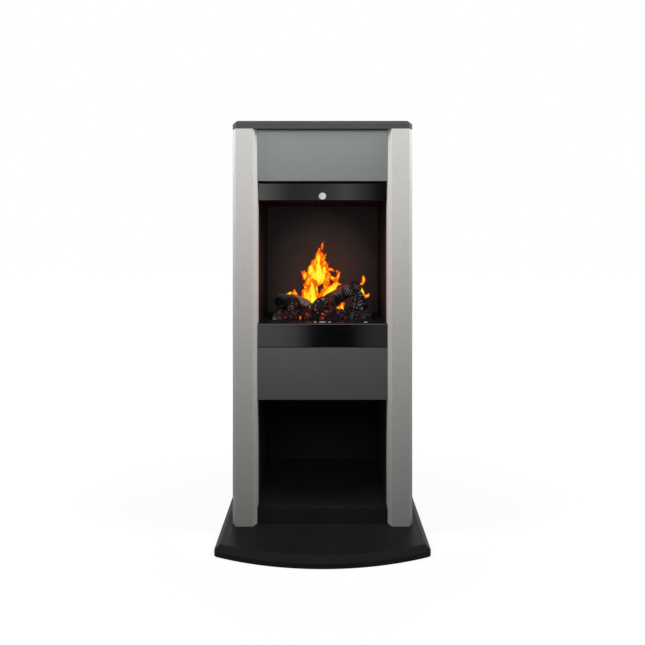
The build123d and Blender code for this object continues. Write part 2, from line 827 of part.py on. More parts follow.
with BuildPart() as ember_bed:
    with BuildSketch(Plane.XY.offset(bed_z)):
        with Locations((0, bed_y0 + bed_depth / 2)):
            RectangleRounded(2 * bed_half, bed_depth, bed_corner)
    extrude(amount=bed_foot_height, taper=bed_foot_slope)
    with BuildSketch(Plane.XY.offset(bed_z + bed_foot_height)):
        with Locations((0, bed_y0 + bed_depth / 2)):
            RectangleRounded(
                2 * (bed_half - bed_step), bed_depth - 2 * bed_step, bed_corner - bed_step / 2
            )
    extrude(amount=bed_crown_height, taper=bed_crown_slope)
    add(left_log_room, mode=Mode.SUBTRACT)
    add(long_log_room, mode=Mode.SUBTRACT)
    add(ash_log_room, mode=Mode.SUBTRACT)
    add(right_log_room, mode=Mode.SUBTRACT)
ember_bed.part.label = "ember_bed"
export_step(ember_bed.part, "parts/ember_bed.step")

# Fan heater above the firebox ceiling: casing, element, cross-flow impeller, bush and motor

casing_wall = 1.2
casing_end_margin = 8.0
casing_half = outlet_half_length + casing_end_margin
casing_lap = 4.0
casing_y0 = outlet_y0 - casing_lap
casing_depth = 132.0
casing_height = 100.0
casing_z = firebox_top_z + sheet
casing_y1 = casing_y0 + casing_depth
impeller_radius = 28.0
impeller_end_gap = 20.0
impeller_half = casing_half - impeller_end_gap
impeller_setback = 70.0
impeller_lift = 60.0
impeller_y = casing_y0 + impeller_setback
impeller_z = casing_z + impeller_lift
disc_thickness = 2.5
blade_count = 24
blade_width = 8.0
blade_thickness = 1.0
blade_rim = 0.5
blade_angle = 25.0
shaft_radius = 3.0
shaft_hole_gap = 1.0
bush_radius = 8.0
bush_length = 10.0
bush_flange = 3.0
intake_end_margin = 10.0
intake_pitch = 18.0
intake_slots = int(2 * (casing_half - intake_end_margin) / intake_pitch)
intake_width = 9.0
intake_length = 60.0

with BuildPart() as heater_casing:
    block(-casing_half, casing_half, casing_y0, casing_y1, casing_z, casing_z + casing_height)
    block(
        -casing_half + casing_wall, casing_half - casing_wall,
        casing_y0 + casing_wall, casing_y1 - casing_wall,
        casing_z + casing_wall, casing_z + casing_height - casing_wall, Mode.SUBTRACT,
    )
    block(
        -outlet_half_length, outlet_half_length,
        outlet_y0, outlet_y0 + outlet_depth, casing_z, casing_z + casing_wall, Mode.SUBTRACT,
    )
    with Locations((0, impeller_y, casing_z + casing_height - casing_wall / 2)):
        with GridLocations(intake_pitch, 1, intake_slots, 1):
            Box(intake_width, intake_length, casing_wall, mode=Mode.SUBTRACT)
    rod_x(
        bush_radius + running_gap, -casing_half, -casing_half + casing_wall,
        impeller_y, impeller_z, Mode.SUBTRACT,
    )
    rod_x(
        shaft_radius + shaft_hole_gap, casing_half - casing_wall, casing_half,
        impeller_y, impeller_z, Mode.SUBTRACT,
    )
heater_casing.part.label = "heater_casing"
export_step(heater_casing.part, "parts/heater_casing.step")

element_height = 14.0
element_lift = 8.0
element_rail = 3.0
element_end_gap = 16.0
element_half = casing_half - element_end_gap
element_tab = 12.0
element_gap = 2.0
fin_pitch = 5.2
fin_gap = 3.6
fin_count = int(2 * (element_half - element_rail) / fin_pitch)
element_z = casing_z + casing_wall + element_lift
element_y0 = outlet_y0 + element_gap
element_y1 = outlet_y0 + outlet_depth - element_gap
with BuildPart() as heating_element:
    block(-element_half, element_half, element_y0, element_y1, element_z, element_z + element_height)
    with Locations((0, (element_y0 + element_y1) / 2, element_z + element_height / 2)):
        with GridLocations(fin_pitch, 1, fin_count, 1):
            Box(fin_gap, element_y1 - element_y0 - 2 * element_rail, element_height, mode=Mode.SUBTRACT)
    for sign in (-1, 1):
        block(
            *sorted((sign * element_half, sign * (casing_half - casing_wall))),
            (element_y0 + element_y1 - element_tab) / 2, (element_y0 + element_y1 + element_tab) / 2,
            element_z, element_z + element_rail,
        )
heating_element.part.label = "heating_element"
export_step(heating_element.part, "parts/heating_element.step")

with BuildPart() as impeller_bush:
    rod_x(
        bush_radius, -casing_half, -casing_half + bush_length, impeller_y, impeller_z
    )
    rod_x(
        bush_radius + bush_flange, -casing_half + casing_wall, -casing_half + 2 * casing_wall,
        impeller_y, impeller_z,
    )
    rod_x(
        shaft_radius + running_gap, -casing_half, -casing_half + bush_length,
        impeller_y, impeller_z, Mode.SUBTRACT,
    )
impeller_bush.part.label = "impeller_bush"
export_step(impeller_bush.part, "parts/impeller_bush.step")

motor_radius = 22.0
motor_wall_gap = 8.0
motor_length = inner_x - motor_wall_gap - casing_half
motor_bevel = 3.0
shaft_in_motor = 18.0
with BuildPart() as heater_motor:
    rod_x(motor_radius, casing_half, casing_half + motor_length, impeller_y, impeller_z)
    chamfer(heater_motor.edges().group_by(Axis.X)[-1], motor_bevel)
    rod_x(
        shaft_radius + running_gap, casing_half, casing_half + shaft_in_motor + shaft_hole_gap,
        impeller_y, impeller_z, Mode.SUBTRACT,
    )
heater_motor.part.label = "heater_motor"
export_step(heater_motor.part, "parts/heater_motor.step")

with BuildPart() as heater_impeller:
    rod_x(shaft_radius, -casing_half, casing_half + shaft_in_motor, impeller_y, impeller_z)
    for disc_x in (-impeller_half, -disc_thickness / 2, impeller_half - disc_thickness):
        rod_x(impeller_radius, disc_x, disc_x + disc_thickness, impeller_y, impeller_z)
    blade_orbit = impeller_radius - blade_width / 2 - blade_rim
    for blade in range(blade_count):
        angle = 360 * blade / blade_count
        blade_y = impeller_y + blade_orbit * math.cos(math.radians(angle))
        blade_z = impeller_z + blade_orbit * math.sin(math.radians(angle))
        with Locations(Location((0, blade_y, blade_z), (angle + blade_angle, 0, 0))):
            Box(2 * impeller_half - disc_thickness, blade_width, blade_thickness)
heater_impeller.part.label = "heater_impeller"
export_step(heater_impeller.part, "parts/heater_impeller.step")

# Transformer on the ceiling, beside the heater

core_side_gap = 16.0
core_width = 60.0
core_x = core_side_gap + core_width / 2 - inner_x
core_depth = 30.0
core_height = 50.0
coil_depth = 46.0
coil_height = 30.0
coil_width = 36.0
core_gap = 8.0
core_y = casing_y1 + core_gap + coil_depth / 2
with BuildPart() as transformer:
    block(
        core_x - core_width / 2, core_x + core_width / 2,
        core_y - core_depth / 2, core_y + core_depth / 2, casing_z, casing_z + core_height,
    )
    block(
        core_x - coil_width / 2, core_x + coil_width / 2,
        core_y - coil_depth / 2, core_y + coil_depth / 2,
        casing_z + (core_height - coil_height) / 2, casing_z + (core_height + coil_height) / 2,
    )
transformer.part.label = "transformer"
export_step(transformer.part, "parts/transformer.step")

# Rear cover with vents, and what is mounted in it

cover_side_gap = 4.0
cover_half = outer_x - cover_side_gap
vent_width = 4.0
vent_length = 90.0
vent_pitch = 12.0
vent_rows = 6
vent_columns = 3
vent_column_pitch = 120.0
heater_vent_z = upper_panel_z + upper_panel_height / 2
fan_drop = 26.0
fan_z = drawer_z + drawer_front_height - fan_drop
fan_side = 60.0
fan_vent_length = 44.0
fan_vent_rows = 4
inlet_x = -120.0
inlet_lift = 50.0
inlet_z = drawer_z + inlet_lift
inlet_half_width = 13.5
inlet_half_height = 10.0
switch_x = -60.0
switch_half_width = 13.5
switch_half_height = 11.0
with BuildPart() as rear_cover:
    block(-cover_half, cover_half, back_y - sheet, back_y, cover_z, cover_top_z)
    with Locations((0, back_y - sheet / 2, heater_vent_z)):
        with Locations(Plane.XZ.location):
            with GridLocations(vent_column_pitch, vent_pitch, vent_columns, vent_rows):
                Box(vent_length, vent_width, 2 * sheet, mode=Mode.SUBTRACT)
    with Locations((0, back_y - sheet / 2, fan_z)):
        with Locations(Plane.XZ.location):
            with GridLocations(vent_column_pitch, vent_pitch, 1, fan_vent_rows):
                Box(fan_vent_length, vent_width, 2 * sheet, mode=Mode.SUBTRACT)
    for sign in (-1, 1):
        for screw_z in cover_screw_z:
            rod_y(cover_screw_hole, sign * cover_screw_x, back_y - sheet, back_y, screw_z, Mode.SUBTRACT)
    block(
        inlet_x - inlet_half_width - fixed_gap, inlet_x + inlet_half_width + fixed_gap,
        back_y - sheet, back_y,
        inlet_z - inlet_half_height - fixed_gap, inlet_z + inlet_half_height + fixed_gap,
        Mode.SUBTRACT,
    )
    block(
        switch_x - switch_half_width - fixed_gap, switch_x + switch_half_width + fixed_gap,
        back_y - sheet, back_y,
        inlet_z - switch_half_height - fixed_gap, inlet_z + switch_half_height + fixed_gap,
        Mode.SUBTRACT,
    )
rear_cover.part.label = "rear_cover"
export_step(rear_cover.part, "parts/rear_cover.step")

screw_head_radius = 4.0
screw_head_height = 2.4
screw_shank = 8.0
recess_radius = 1.6
recess_depth = 1.4
with BuildPart() as cover_screws:
    for sign in (-1, 1):
        for screw_z in cover_screw_z:
            rod_y(screw_head_radius, sign * cover_screw_x, back_y, back_y + screw_head_height, screw_z)
            rod_y(cover_screw_radius, sign * cover_screw_x, back_y - screw_shank, back_y, screw_z)
            rod_y(
                recess_radius, sign * cover_screw_x,
                back_y + screw_head_height - recess_depth, back_y + screw_head_height,
                screw_z, Mode.SUBTRACT,
            )
cover_screws.part.label = "cover_screws"
export_step(cover_screws.part, "parts/cover_screws.step")

# Appliance inlet with three blades in its recess; the lead is a separate thing

inlet_depth = 22.0
inlet_flange = 3.0
inlet_flange_half_width = 24.0
inlet_flange_half_height = 13.0
inlet_recess_depth = 16.0
inlet_recess_half_width = 12.0
inlet_recess_half_height = 8.5
blade_half_width = 1.0
blade_half_height = 2.0
inlet_blade_length = 13.0
blade_spread = 7.0
blade_rise = 2.0
inlet_mouth_y = back_y + inlet_flange
with BuildPart() as mains_inlet:
    block(
        inlet_x - inlet_half_width, inlet_x + inlet_half_width,
        back_y - inlet_depth, back_y,
        inlet_z - inlet_half_height, inlet_z + inlet_half_height,
    )
    block(
        inlet_x - inlet_flange_half_width, inlet_x + inlet_flange_half_width,
        back_y, inlet_mouth_y,
        inlet_z - inlet_flange_half_height, inlet_z + inlet_flange_half_height,
    )
    block(
        inlet_x - inlet_recess_half_width, inlet_x + inlet_recess_half_width,
        inlet_mouth_y - inlet_recess_depth, inlet_mouth_y,
        inlet_z - inlet_recess_half_height, inlet_z + inlet_recess_half_height, Mode.SUBTRACT,
    )
    for blade_x, blade_z in (
        (-blade_spread, -blade_rise),
        (0, blade_rise),
        (blade_spread, -blade_rise),
    ):
        block(
            inlet_x + blade_x - blade_half_width, inlet_x + blade_x + blade_half_width,
            inlet_mouth_y - inlet_recess_depth,
            inlet_mouth_y - inlet_recess_depth + inlet_blade_length,
            inlet_z + blade_z - blade_half_height, inlet_z + blade_z + blade_half_height,
        )
mains_inlet.part.label = "mains_inlet"
export_step(mains_inlet.part, "parts/mains_inlet.step")

# Rocker switch: a bezel with a pocket, and the rocker on its two pins

bezel_flange = 2.0
bezel_half_width = 16.0
bezel_half_height = 13.0
bezel_depth = 15.0
rocker_half_width = 11.0
rocker_half_height = 7.5
rocker_nose = 5.0
rocker_dip = 3.4
rocker_tail = 4.0
rocker_tilt = 7.0
pocket_depth = 12.0
pin_radius = 1.2
pin_reach = 1.4
rocker_sink = 3.0
rocker_room = 1.2
pin_end_gap = 0.2
rocker_y = back_y - rocker_sink
bezel_face_y = back_y + bezel_flange
with BuildPart() as switch_bezel:
    block(
        switch_x - switch_half_width, switch_x + switch_half_width,
        back_y - bezel_depth, back_y,
        inlet_z - switch_half_height, inlet_z + switch_half_height,
    )
    block(
        switch_x - bezel_half_width, switch_x + bezel_half_width, back_y, bezel_face_y,
        inlet_z - bezel_half_height, inlet_z + bezel_half_height,
    )
    block(
        switch_x - rocker_half_width - slide_gap, switch_x + rocker_half_width + slide_gap,
        bezel_face_y - pocket_depth, bezel_face_y,
        inlet_z - rocker_half_height - rocker_room, inlet_z + rocker_half_height + rocker_room,
        Mode.SUBTRACT,
    )
    rod_x(
        pin_radius + running_gap,
        switch_x - rocker_half_width - pin_reach, switch_x + rocker_half_width + pin_reach,
        rocker_y, inlet_z, Mode.SUBTRACT,
    )
switch_bezel.part.label = "switch_bezel"
export_step(switch_bezel.part, "parts/switch_bezel.step")

with BuildPart() as rocker_switch:
    with BuildSketch(Plane.YZ.offset(switch_x - rocker_half_width)):
        with BuildLine():
            Polyline(
                (rocker_y + rocker_nose, inlet_z - rocker_half_height),
                (rocker_y + rocker_dip, inlet_z),
                (rocker_y + rocker_nose, inlet_z + rocker_half_height),
                (rocker_y - rocker_tail, inlet_z + rocker_half_height / 2),
                (rocker_y - rocker_tail, inlet_z - rocker_half_height / 2),
                close=True,
            )
        make_face()
    extrude(amount=2 * rocker_half_width)
    rod_x(
        pin_radius,
        switch_x - rocker_half_width - pin_reach + pin_end_gap,
        switch_x + rocker_half_width + pin_reach - pin_end_gap,
        rocker_y, inlet_z,
    )
rocker_at_rest = rocker_switch.part.rotate(Axis((switch_x, rocker_y, inlet_z), (1, 0, 0)), rocker_tilt)
rocker_at_rest.label = "rocker_switch"
export_step(rocker_at_rest, "parts/rocker_switch.step")

# Mist fan on the inside of the rear cover: frame with three spokes, and its rotor

fan_depth = 15.0
fan_bore_radius = 27.0
fan_hub_radius = 8.0
fan_spoke_width = 4.0
fan_spoke_depth = 3.0
spoke_root = 1.0
fan_rotor_radius = 26.0
fan_rotor_hub = 11.0
fan_blades = 7
fan_blade_thickness = 1.4
fan_blade_pitch = 35.0
fan_blade_width = 11.0
fan_rotor_depth = 8.0
fan_shaft_radius = 1.5
fan_back_y = back_y - sheet
fan_front_y = fan_back_y - fan_depth
rotor_back_y = fan_back_y - fan_spoke_depth - body_gap
with BuildPart() as mist_fan_frame:
    block(-fan_side / 2, fan_side / 2, fan_front_y, fan_back_y, fan_z - fan_side / 2, fan_z + fan_side / 2)
    rod_y(fan_bore_radius, 0, fan_front_y, fan_back_y, fan_z, Mode.SUBTRACT)
    for spoke in range(3):
        with Locations(Location((0, fan_back_y - fan_spoke_depth / 2, fan_z), (0, 120 * spoke, 0))):
            with Locations(((fan_bore_radius + spoke_root) / 2, 0, 0)):
                Box(fan_bore_radius + spoke_root, fan_spoke_depth, fan_spoke_width)
    rod_y(fan_hub_radius, 0, fan_back_y - fan_spoke_depth, fan_back_y, fan_z)
    rod_y(fan_shaft_radius + running_gap, 0, fan_back_y - fan_spoke_depth, fan_back_y, fan_z, Mode.SUBTRACT)
mist_fan_frame.part.label = "mist_fan_frame"
export_step(mist_fan_frame.part, "parts/mist_fan_frame.step")

with BuildPart() as mist_fan_rotor:
    rod_y(fan_rotor_hub, 0, rotor_back_y - fan_rotor_depth, rotor_back_y, fan_z)
    rod_y(fan_shaft_radius, 0, rotor_back_y, fan_back_y, fan_z)
    blade_reach = fan_rotor_radius - fan_rotor_hub + spoke_root
    blade_middle = fan_rotor_hub - spoke_root + blade_reach / 2
    for blade in range(fan_blades):
        turn = Location((0, rotor_back_y - fan_rotor_depth / 2, fan_z), (0, 360 * blade / fan_blades, 0))
        with Locations(turn * Location((blade_middle, 0, 0), (fan_blade_pitch, 0, 0))):
            Box(blade_reach, fan_blade_thickness, fan_blade_width)
mist_fan_rotor.part.label = "mist_fan_rotor"
export_step(mist_fan_rotor.part, "parts/mist_fan_rotor.step")
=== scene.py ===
"""Looks of a freestanding electric fireplace: finishes, logs, embers, mist flame and studio."""
import math

import bpy
import numpy as np
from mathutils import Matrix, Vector


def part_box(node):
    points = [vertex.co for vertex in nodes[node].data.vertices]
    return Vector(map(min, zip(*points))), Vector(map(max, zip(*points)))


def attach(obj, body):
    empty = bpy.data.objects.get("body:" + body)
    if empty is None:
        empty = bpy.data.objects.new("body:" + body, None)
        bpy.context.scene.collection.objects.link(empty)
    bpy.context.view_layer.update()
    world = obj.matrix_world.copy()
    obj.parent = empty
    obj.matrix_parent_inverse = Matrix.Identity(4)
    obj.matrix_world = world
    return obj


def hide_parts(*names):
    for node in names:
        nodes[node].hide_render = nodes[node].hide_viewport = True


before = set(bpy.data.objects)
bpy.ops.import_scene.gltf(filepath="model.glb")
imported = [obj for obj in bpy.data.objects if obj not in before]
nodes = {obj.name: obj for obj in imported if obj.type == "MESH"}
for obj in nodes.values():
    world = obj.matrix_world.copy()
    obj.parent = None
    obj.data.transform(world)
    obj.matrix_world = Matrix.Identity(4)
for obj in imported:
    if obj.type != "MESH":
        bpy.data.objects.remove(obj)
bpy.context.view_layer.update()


# Numbers taken from the frame

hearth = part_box("firebox_floor")[1][2]
bed_low, bed_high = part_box("ember_bed")


# Noise as whole arrays

def lattice_value(cells, seed):
    """A fixed pseudo-random share of 1 for each whole-number cell: the fraction of a large sine."""
    mixed = cells @ np.array([127.1, 311.7, 74.7]) + seed * 19.19
    wave = np.sin(mixed) * 43758.5453
    return wave - np.floor(wave)


def smooth_noise(points, seed):
    """Values at the corners of each unit cell, blended across it by 3t^2 - 2t^3, from -1 to 1."""
    cell = np.floor(points)
    part = points - cell
    blend = part * part * (3.0 - 2.0 * part)
    total = np.zeros(points.shape[:-1])
    for corner in np.ndindex(2, 2, 2):
        offset = np.array(corner, dtype=float)
        weight = np.prod(np.where(offset > 0.5, blend, 1.0 - blend), axis=-1)
        total = total + weight * lattice_value(cell + offset, seed)
    return total * 2.0 - 1.0


def rough_noise(points, seed, octaves):
    """Smooth noise summed over octaves, each twice as fine and half as strong as the one before."""
    total = np.zeros(points.shape[:-1])
    strength = 1.0
    for octave in range(octaves):
        total = total + strength * smooth_noise(points * 2.0 ** octave, seed + octave)
        strength = strength * 0.5
    return total


def nearest_seed(points, seed):
    """Distances to the nearest and second nearest of the seed points that sit one in each cell."""
    cell = np.floor(points)
    first = np.full(points.shape[:-1], 9.0)
    second = np.full(points.shape[:-1], 9.0)
    for step in np.ndindex(3, 3, 3):
        home = cell + np.array(step, dtype=float) - 1.0
        jitter = [lattice_value(home, seed + axis * 7.0) for axis in range(3)]
        away = np.linalg.norm(home + np.stack(jitter, axis=-1) - points, axis=-1)
        second = np.minimum(second, np.maximum(first, away))
        first = np.minimum(first, away)
    return first, second


# Meshes from grids

def new_object(name, points, tables):
    """A mesh object with its place in its mesh; each table lists faces with as many corners."""
    mesh = bpy.data.meshes.new(name)
    mesh.from_pydata(points.tolist(), [], sum((table.tolist() for table in tables), []))
    mesh.update()
    piece = bpy.data.objects.new(name, mesh)
    bpy.context.scene.collection.objects.link(piece)
    mesh.polygons.foreach_set("use_smooth", np.ones(len(mesh.polygons), dtype=bool))
    return piece


def sheet(name, corners):
    """A flat sheet with four corners."""
    return new_object(name, np.array(corners, dtype=float), [np.array([[0, 1, 2, 3]])])


def paint(piece, name, values):
    """One number per point, kept on the mesh for its material to read."""
    layer = piece.data.attributes.new(name, "FLOAT", "POINT")
    layer.data.foreach_set("value", np.ascontiguousarray(values, dtype=np.float32).ravel())


def tube_faces(rings, around):
    """Quads between neighbouring closed rings, and a fan of triangles on a pole at each end."""
    row = np.arange(rings - 1)[:, None] * around
    here = np.arange(around)
    there = (here + 1) % around
    quads = np.stack([row + here, row + there, row + around + there, row + around + here], axis=-1)
    pole = np.full(around, rings * around)
    last_row = (rings - 1) * around
    start = np.stack([pole, there, here], axis=-1)
    end = np.stack([pole + 1, last_row + here, last_row + there], axis=-1)
    return [quads.reshape(-1, 4), np.concatenate([start, end])]


def copied(table, count, step):
    """A table of faces repeated for count pieces whose points follow each other, step apiece."""
    shift = np.arange(count)[:, None, None] * step
    return (table[None] + shift).reshape(-1, table.shape[1])


def face_outwards(points, tables):
    """Turns every face over when the volume that they enclose comes out negative."""
    volume = 0.0
    for table in tables:
        corner = points[table]
        for last in range(2, table.shape[1]):
            cross = np.cross(corner[:, last - 1], corner[:, last])
            volume = volume + np.sum(corner[:, 0] * cross)
    if volume < 0.0:
        return [table[:, ::-1] for table in tables]
    return tables


def with_poles(rings):
    """A tube's points, or one number for each: its rings, then the mean of each end ring."""
    flat = rings.reshape(rings.shape[0] * rings.shape[1], *rings.shape[2:])
    return np.concatenate([flat, rings[[0, -1]].mean(axis=1)])


def tube_object(name, tubes):
    """One mesh of closed tubes that all have as many rings, with as many points around."""
    rings, around = tubes[0].shape[:2]
    points = np.concatenate([with_poles(tube) for tube in tubes])
    step = len(points) // len(tubes)
    tables = [copied(table, len(tubes), step) for table in tube_faces(rings, around)]
    return new_object(name, points, face_outwards(points, tables))


def smooth_path(points, count):
    """Points along a uniform Catmull-Rom curve through the given ones."""
    control = np.asarray(points, dtype=float)
    padded = np.vstack([2 * control[0] - control[1], control, 2 * control[-1] - control[-2]])
    place = np.linspace(0.0, len(control) - 1.0001, count)
    span = np.floor(place).astype(int)
    part = (place - span)[:, None]
    before, start, end, after = (padded[span + shift] for shift in range(4))
    straight = end - before
    bend = 2 * before - 5 * start + 4 * end - after
    twist = 3 * start - before - 3 * end + after
    return start + 0.5 * part * (straight + part * (bend + part * twist))


# Material helpers

class Finish:
    """A material with its shader, and short calls that add a node and give back its output."""

    def __init__(self, name):
        self.material = bpy.data.materials.new(name)
        self.material.use_nodes = True
        self.tree = self.material.node_tree
        self.shader = self.tree.nodes["Principled BSDF"]
        self.output = self.tree.nodes["Material Output"]
        self.object = self.node("ShaderNodeTexCoord").outputs["Object"]

    def node(self, kind, **settings):
        made = self.tree.nodes.new(kind)
        for key, value in settings.items():
            setattr(made, key, value)
        return made

    def link(self, source, target):
        self.tree.links.new(source, target)

    def feed(self, target, value):
        if isinstance(value, bpy.types.NodeSocket):
            self.link(value, target)
        else:
            target.default_value = value

    def set(self, **values):
        for key, value in values.items():
            self.feed(self.shader.inputs[key.replace("_", " ")], value)

    def stretched(self, scale, turn=(0.0, 0.0, 0.0)):
        made = self.node("ShaderNodeMapping")
        made.inputs["Scale"].default_value = scale
        made.inputs["Rotation"].default_value = turn
        self.link(self.object, made.inputs["Vector"])
        return made.outputs["Vector"]

    def noise(self, scale, detail=4.0, rough=0.5, vector=None):
        made = self.node("ShaderNodeTexNoise")
        made.inputs["Scale"].default_value = scale
        made.inputs["Detail"].default_value = detail
        made.inputs["Roughness"].default_value = rough
        self.link(vector or self.object, made.inputs["Vector"])
        return made.outputs["Fac"]

    def cells(self, scale, feature):
        made = self.node("ShaderNodeTexVoronoi", feature=feature)
        made.inputs["Scale"].default_value = scale
        self.link(self.object, made.inputs["Vector"])
        return made

    def ramp(self, value, *stops):
        made = self.node("ShaderNodeValToRGB")
        self.link(value, made.inputs["Fac"])
        band = made.color_ramp
        solid = [(place, (*colour, 1.0)) for place, colour in stops]
        ends = (band.elements[0], solid[0]), (band.elements[1], solid[-1])
        for element, (place, colour) in ends:
            element.position = place
            element.color = colour
        for place, colour in solid[1:-1]:
            band.elements.new(place).color = colour
        return made.outputs["Color"]

    def spread(self, value, low, high, start=0.0, end=1.0):
        made = self.node("ShaderNodeMapRange")
        self.link(value, made.inputs["Value"])
        made.inputs["From Min"].default_value = start
        made.inputs["From Max"].default_value = end
        made.inputs["To Min"].default_value = low
        made.inputs["To Max"].default_value = high
        return made.outputs["Result"]

    def sum(self, operation, first, second=0.0, clamp=False):
        made = self.node("ShaderNodeMath", operation=operation, use_clamp=clamp)
        self.feed(made.inputs[0], first)
        self.feed(made.inputs[1], second)
        return made.outputs["Value"]

    def mix(self, factor, first, second, blend="MIX"):
        """Inputs 6 and 7 and output 2 are the ones that the mix node uses for colours."""
        made = self.node("ShaderNodeMix", data_type="RGBA", blend_type=blend)
        self.feed(made.inputs[0], factor)
        for number, colour in ((6, first), (7, second)):
            solid = (*colour, 1.0) if isinstance(colour, tuple) else colour
            self.feed(made.inputs[number], solid)
        return made.outputs[2]

    def painted(self, name):
        return self.node("ShaderNodeAttribute", attribute_name=name).outputs["Fac"]

    def axis(self, name):
        made = self.node("ShaderNodeSeparateXYZ")
        self.link(self.object, made.inputs["Vector"])
        return made.outputs[name]

    def bump(self, height, strength, distance):
        made = self.node("ShaderNodeBump")
        made.inputs["Strength"].default_value = strength
        made.inputs["Distance"].default_value = distance
        self.link(height, made.inputs["Height"])
        self.link(made.outputs["Normal"], self.shader.inputs["Normal"])


def shade(colour, factor):
    """A colour made lighter or darker."""
    return tuple(min(1.0, channel * factor) for channel in colour)


def grained_coat(name, colour, metal, gloss, grain, spread=0.12):
    """Powder coat: fine grain in the colour and the surface, and a slow cloud in the gloss."""
    coat = Finish(name)
    speck = coat.noise(grain, 3.0, 0.7)
    cloud = coat.noise(6.0, 3.0)
    tone = coat.ramp(speck, (0.25, shade(colour, 1 - spread)), (0.75, shade(colour, 1 + spread)))
    wash = coat.spread(cloud, 0.0, 0.16)
    coat.set(Base_Color=coat.mix(wash, tone, shade(colour, 0.9)), Metallic=metal)
    coat.set(Roughness=coat.spread(speck, gloss - 0.05, gloss + 0.07))
    coat.bump(speck, 0.18, 0.0004)
    return coat


def pillar_coat():
    """Silver powder coat of the pillars: a warm grey whose metallic grain is drawn out sideways."""
    silver = (0.5, 0.488, 0.468)
    coat = Finish("pillar silver coat")
    grain = coat.noise(560.0, 4.0, 0.75, coat.stretched((0.4, 1.0, 1.0)))
    cloud = coat.noise(6.0, 3.0)
    tone = coat.ramp(grain, (0.3, shade(silver, 0.84)), (0.7, shade(silver, 1.12)))
    coat.set(Base_Color=coat.mix(coat.spread(cloud, 0.0, 0.16), tone, shade(silver, 0.9)))
    coat.set(Roughness=coat.spread(grain, 0.45, 0.57), Specular_IOR_Level=0.16)
    coat.bump(coat.noise(1500.0, 3.0, 0.7), 0.18, 0.0004)
    return coat.material


def side_coat():
    """Grey powder coat of the cabinet's sides and rear."""
    return grained_coat("side grey coat", (0.2, 0.2, 0.195), 0.1, 0.52, 1300.0).material


def panel_enamel():
    """Satin grey enamel of the two front panels, cool grey with a dull metallic sheen."""
    enamel = grained_coat("panel grey enamel", (0.125, 0.134, 0.132), 0.5, 0.33, 900.0, 0.05)
    enamel.set(Specular_IOR_Level=0.5)
    return enamel.material


def board_lacquer(name, colour, gloss, level):
    """Satin lacquer on board: a faint orange-peel surface, with handling marks in the gloss."""
    lacquer = Finish(name)
    peel = lacquer.noise(240.0, 2.0)
    marks = lacquer.noise(9.0, 6.0, 0.65)
    tone = lacquer.ramp(marks, (0.3, shade(colour, 0.9)), (0.7, shade(colour, 1.12)))
    lacquer.set(Base_Color=tone, Roughness=lacquer.spread(marks, gloss - 0.06, gloss + 0.08))
    lacquer.set(Specular_IOR_Level=level)
    lacquer.bump(peel, 0.06, 0.0005)
    return lacquer.material


def matt_black():
    """Heat-proof matt black inside the cabinet, with a faint dust cloud."""
    black = Finish("inner matt black")
    speck = black.noise(1100.0, 2.0, 0.6)
    dust = black.noise(14.0, 5.0, 0.6)
    tone = black.ramp(dust, (0.35, (0.0095, 0.0095, 0.0105)), (0.75, (0.016, 0.016, 0.0165)))
    black.set(Base_Color=tone, Roughness=black.spread(dust, 0.62, 0.78), Specular_IOR_Level=0.12)
    black.bump(speck, 0.15, 0.0004)
    return black.material


def firebox_back_painted_glow():
    """Matt black of the firebox back, with the flame's dull warm red light painted on round the flame,
    fading to dark at the top.
    """
    middle_x = 0.002
    middle_z = 0.59
    half_wide = 0.17
    half_high = 0.22
    black = Finish("firebox back painted glow")
    side = black.sum("DIVIDE", black.sum("SUBTRACT", black.axis("X"), middle_x), half_wide)
    rise = black.sum("DIVIDE", black.sum("SUBTRACT", black.axis("Z"), middle_z), half_high)
    squares = [black.sum("POWER", black.sum("ABSOLUTE", part), 2.0) for part in (side, rise)]
    far = black.sum("SQRT", black.sum("ADD", *squares))
    cloud = black.spread(black.noise(22.0, 4.0, 0.6), -0.1, 0.1)
    reach = black.sum("ADD", far, cloud)
    # painted light: the flame's warm red glow on the back wall, brightest in the middle and fading
    # outwards
    glow = black.ramp(reach, (0.0, (0.075, 0.022, 0.017)), (0.35, (0.05, 0.02, 0.017)),
                      (0.75, (0.017, 0.0125, 0.011)), (1.0, (0.0035, 0.003, 0.003)))
    tone = black.ramp(black.noise(14.0, 5.0), (0.3, (0.011, 0.0105, 0.011)),
                      (0.75, (0.019, 0.018, 0.018)))
    black.set(Base_Color=tone, Roughness=0.7, Specular_IOR_Level=0.1)
    black.set(Emission_Color=glow, Emission_Strength=0.66)
    black.bump(black.noise(1100.0, 2.0, 0.6), 0.15, 0.0004)
    return black.material


def strip_glass():
    """Black-backed glass: near-black body, a polished face and a trace of wiping."""
    glass = Finish("black strip glass")
    wipe = glass.noise(5.0, 5.0, 0.6, glass.stretched((1.0, 1.0, 6.0)))
    tone = glass.ramp(wipe, (0.3, (0.002, 0.002, 0.0024)), (0.75, (0.004, 0.004, 0.0046)))
    glass.set(Base_Color=tone, Roughness=glass.spread(wipe, 0.05, 0.11), IOR=1.52)
    return glass.material


def ledge_gloss():
    """Glossy black moulding of the control ledge, with fine scuffs in the gloss."""
    gloss = Finish("ledge gloss black")
    scuff = gloss.noise(60.0, 6.0, 0.7, gloss.stretched((1.0, 5.0, 1.0)))
    tone = gloss.ramp(scuff, (0.3, (0.006, 0.006, 0.0065)), (0.8, (0.013, 0.0125, 0.0125)))
    gloss.set(Base_Color=tone, Roughness=gloss.spread(scuff, 0.12, 0.22))
    gloss.bump(gloss.noise(350.0, 2.0), 0.03, 0.0003)
    return gloss.material


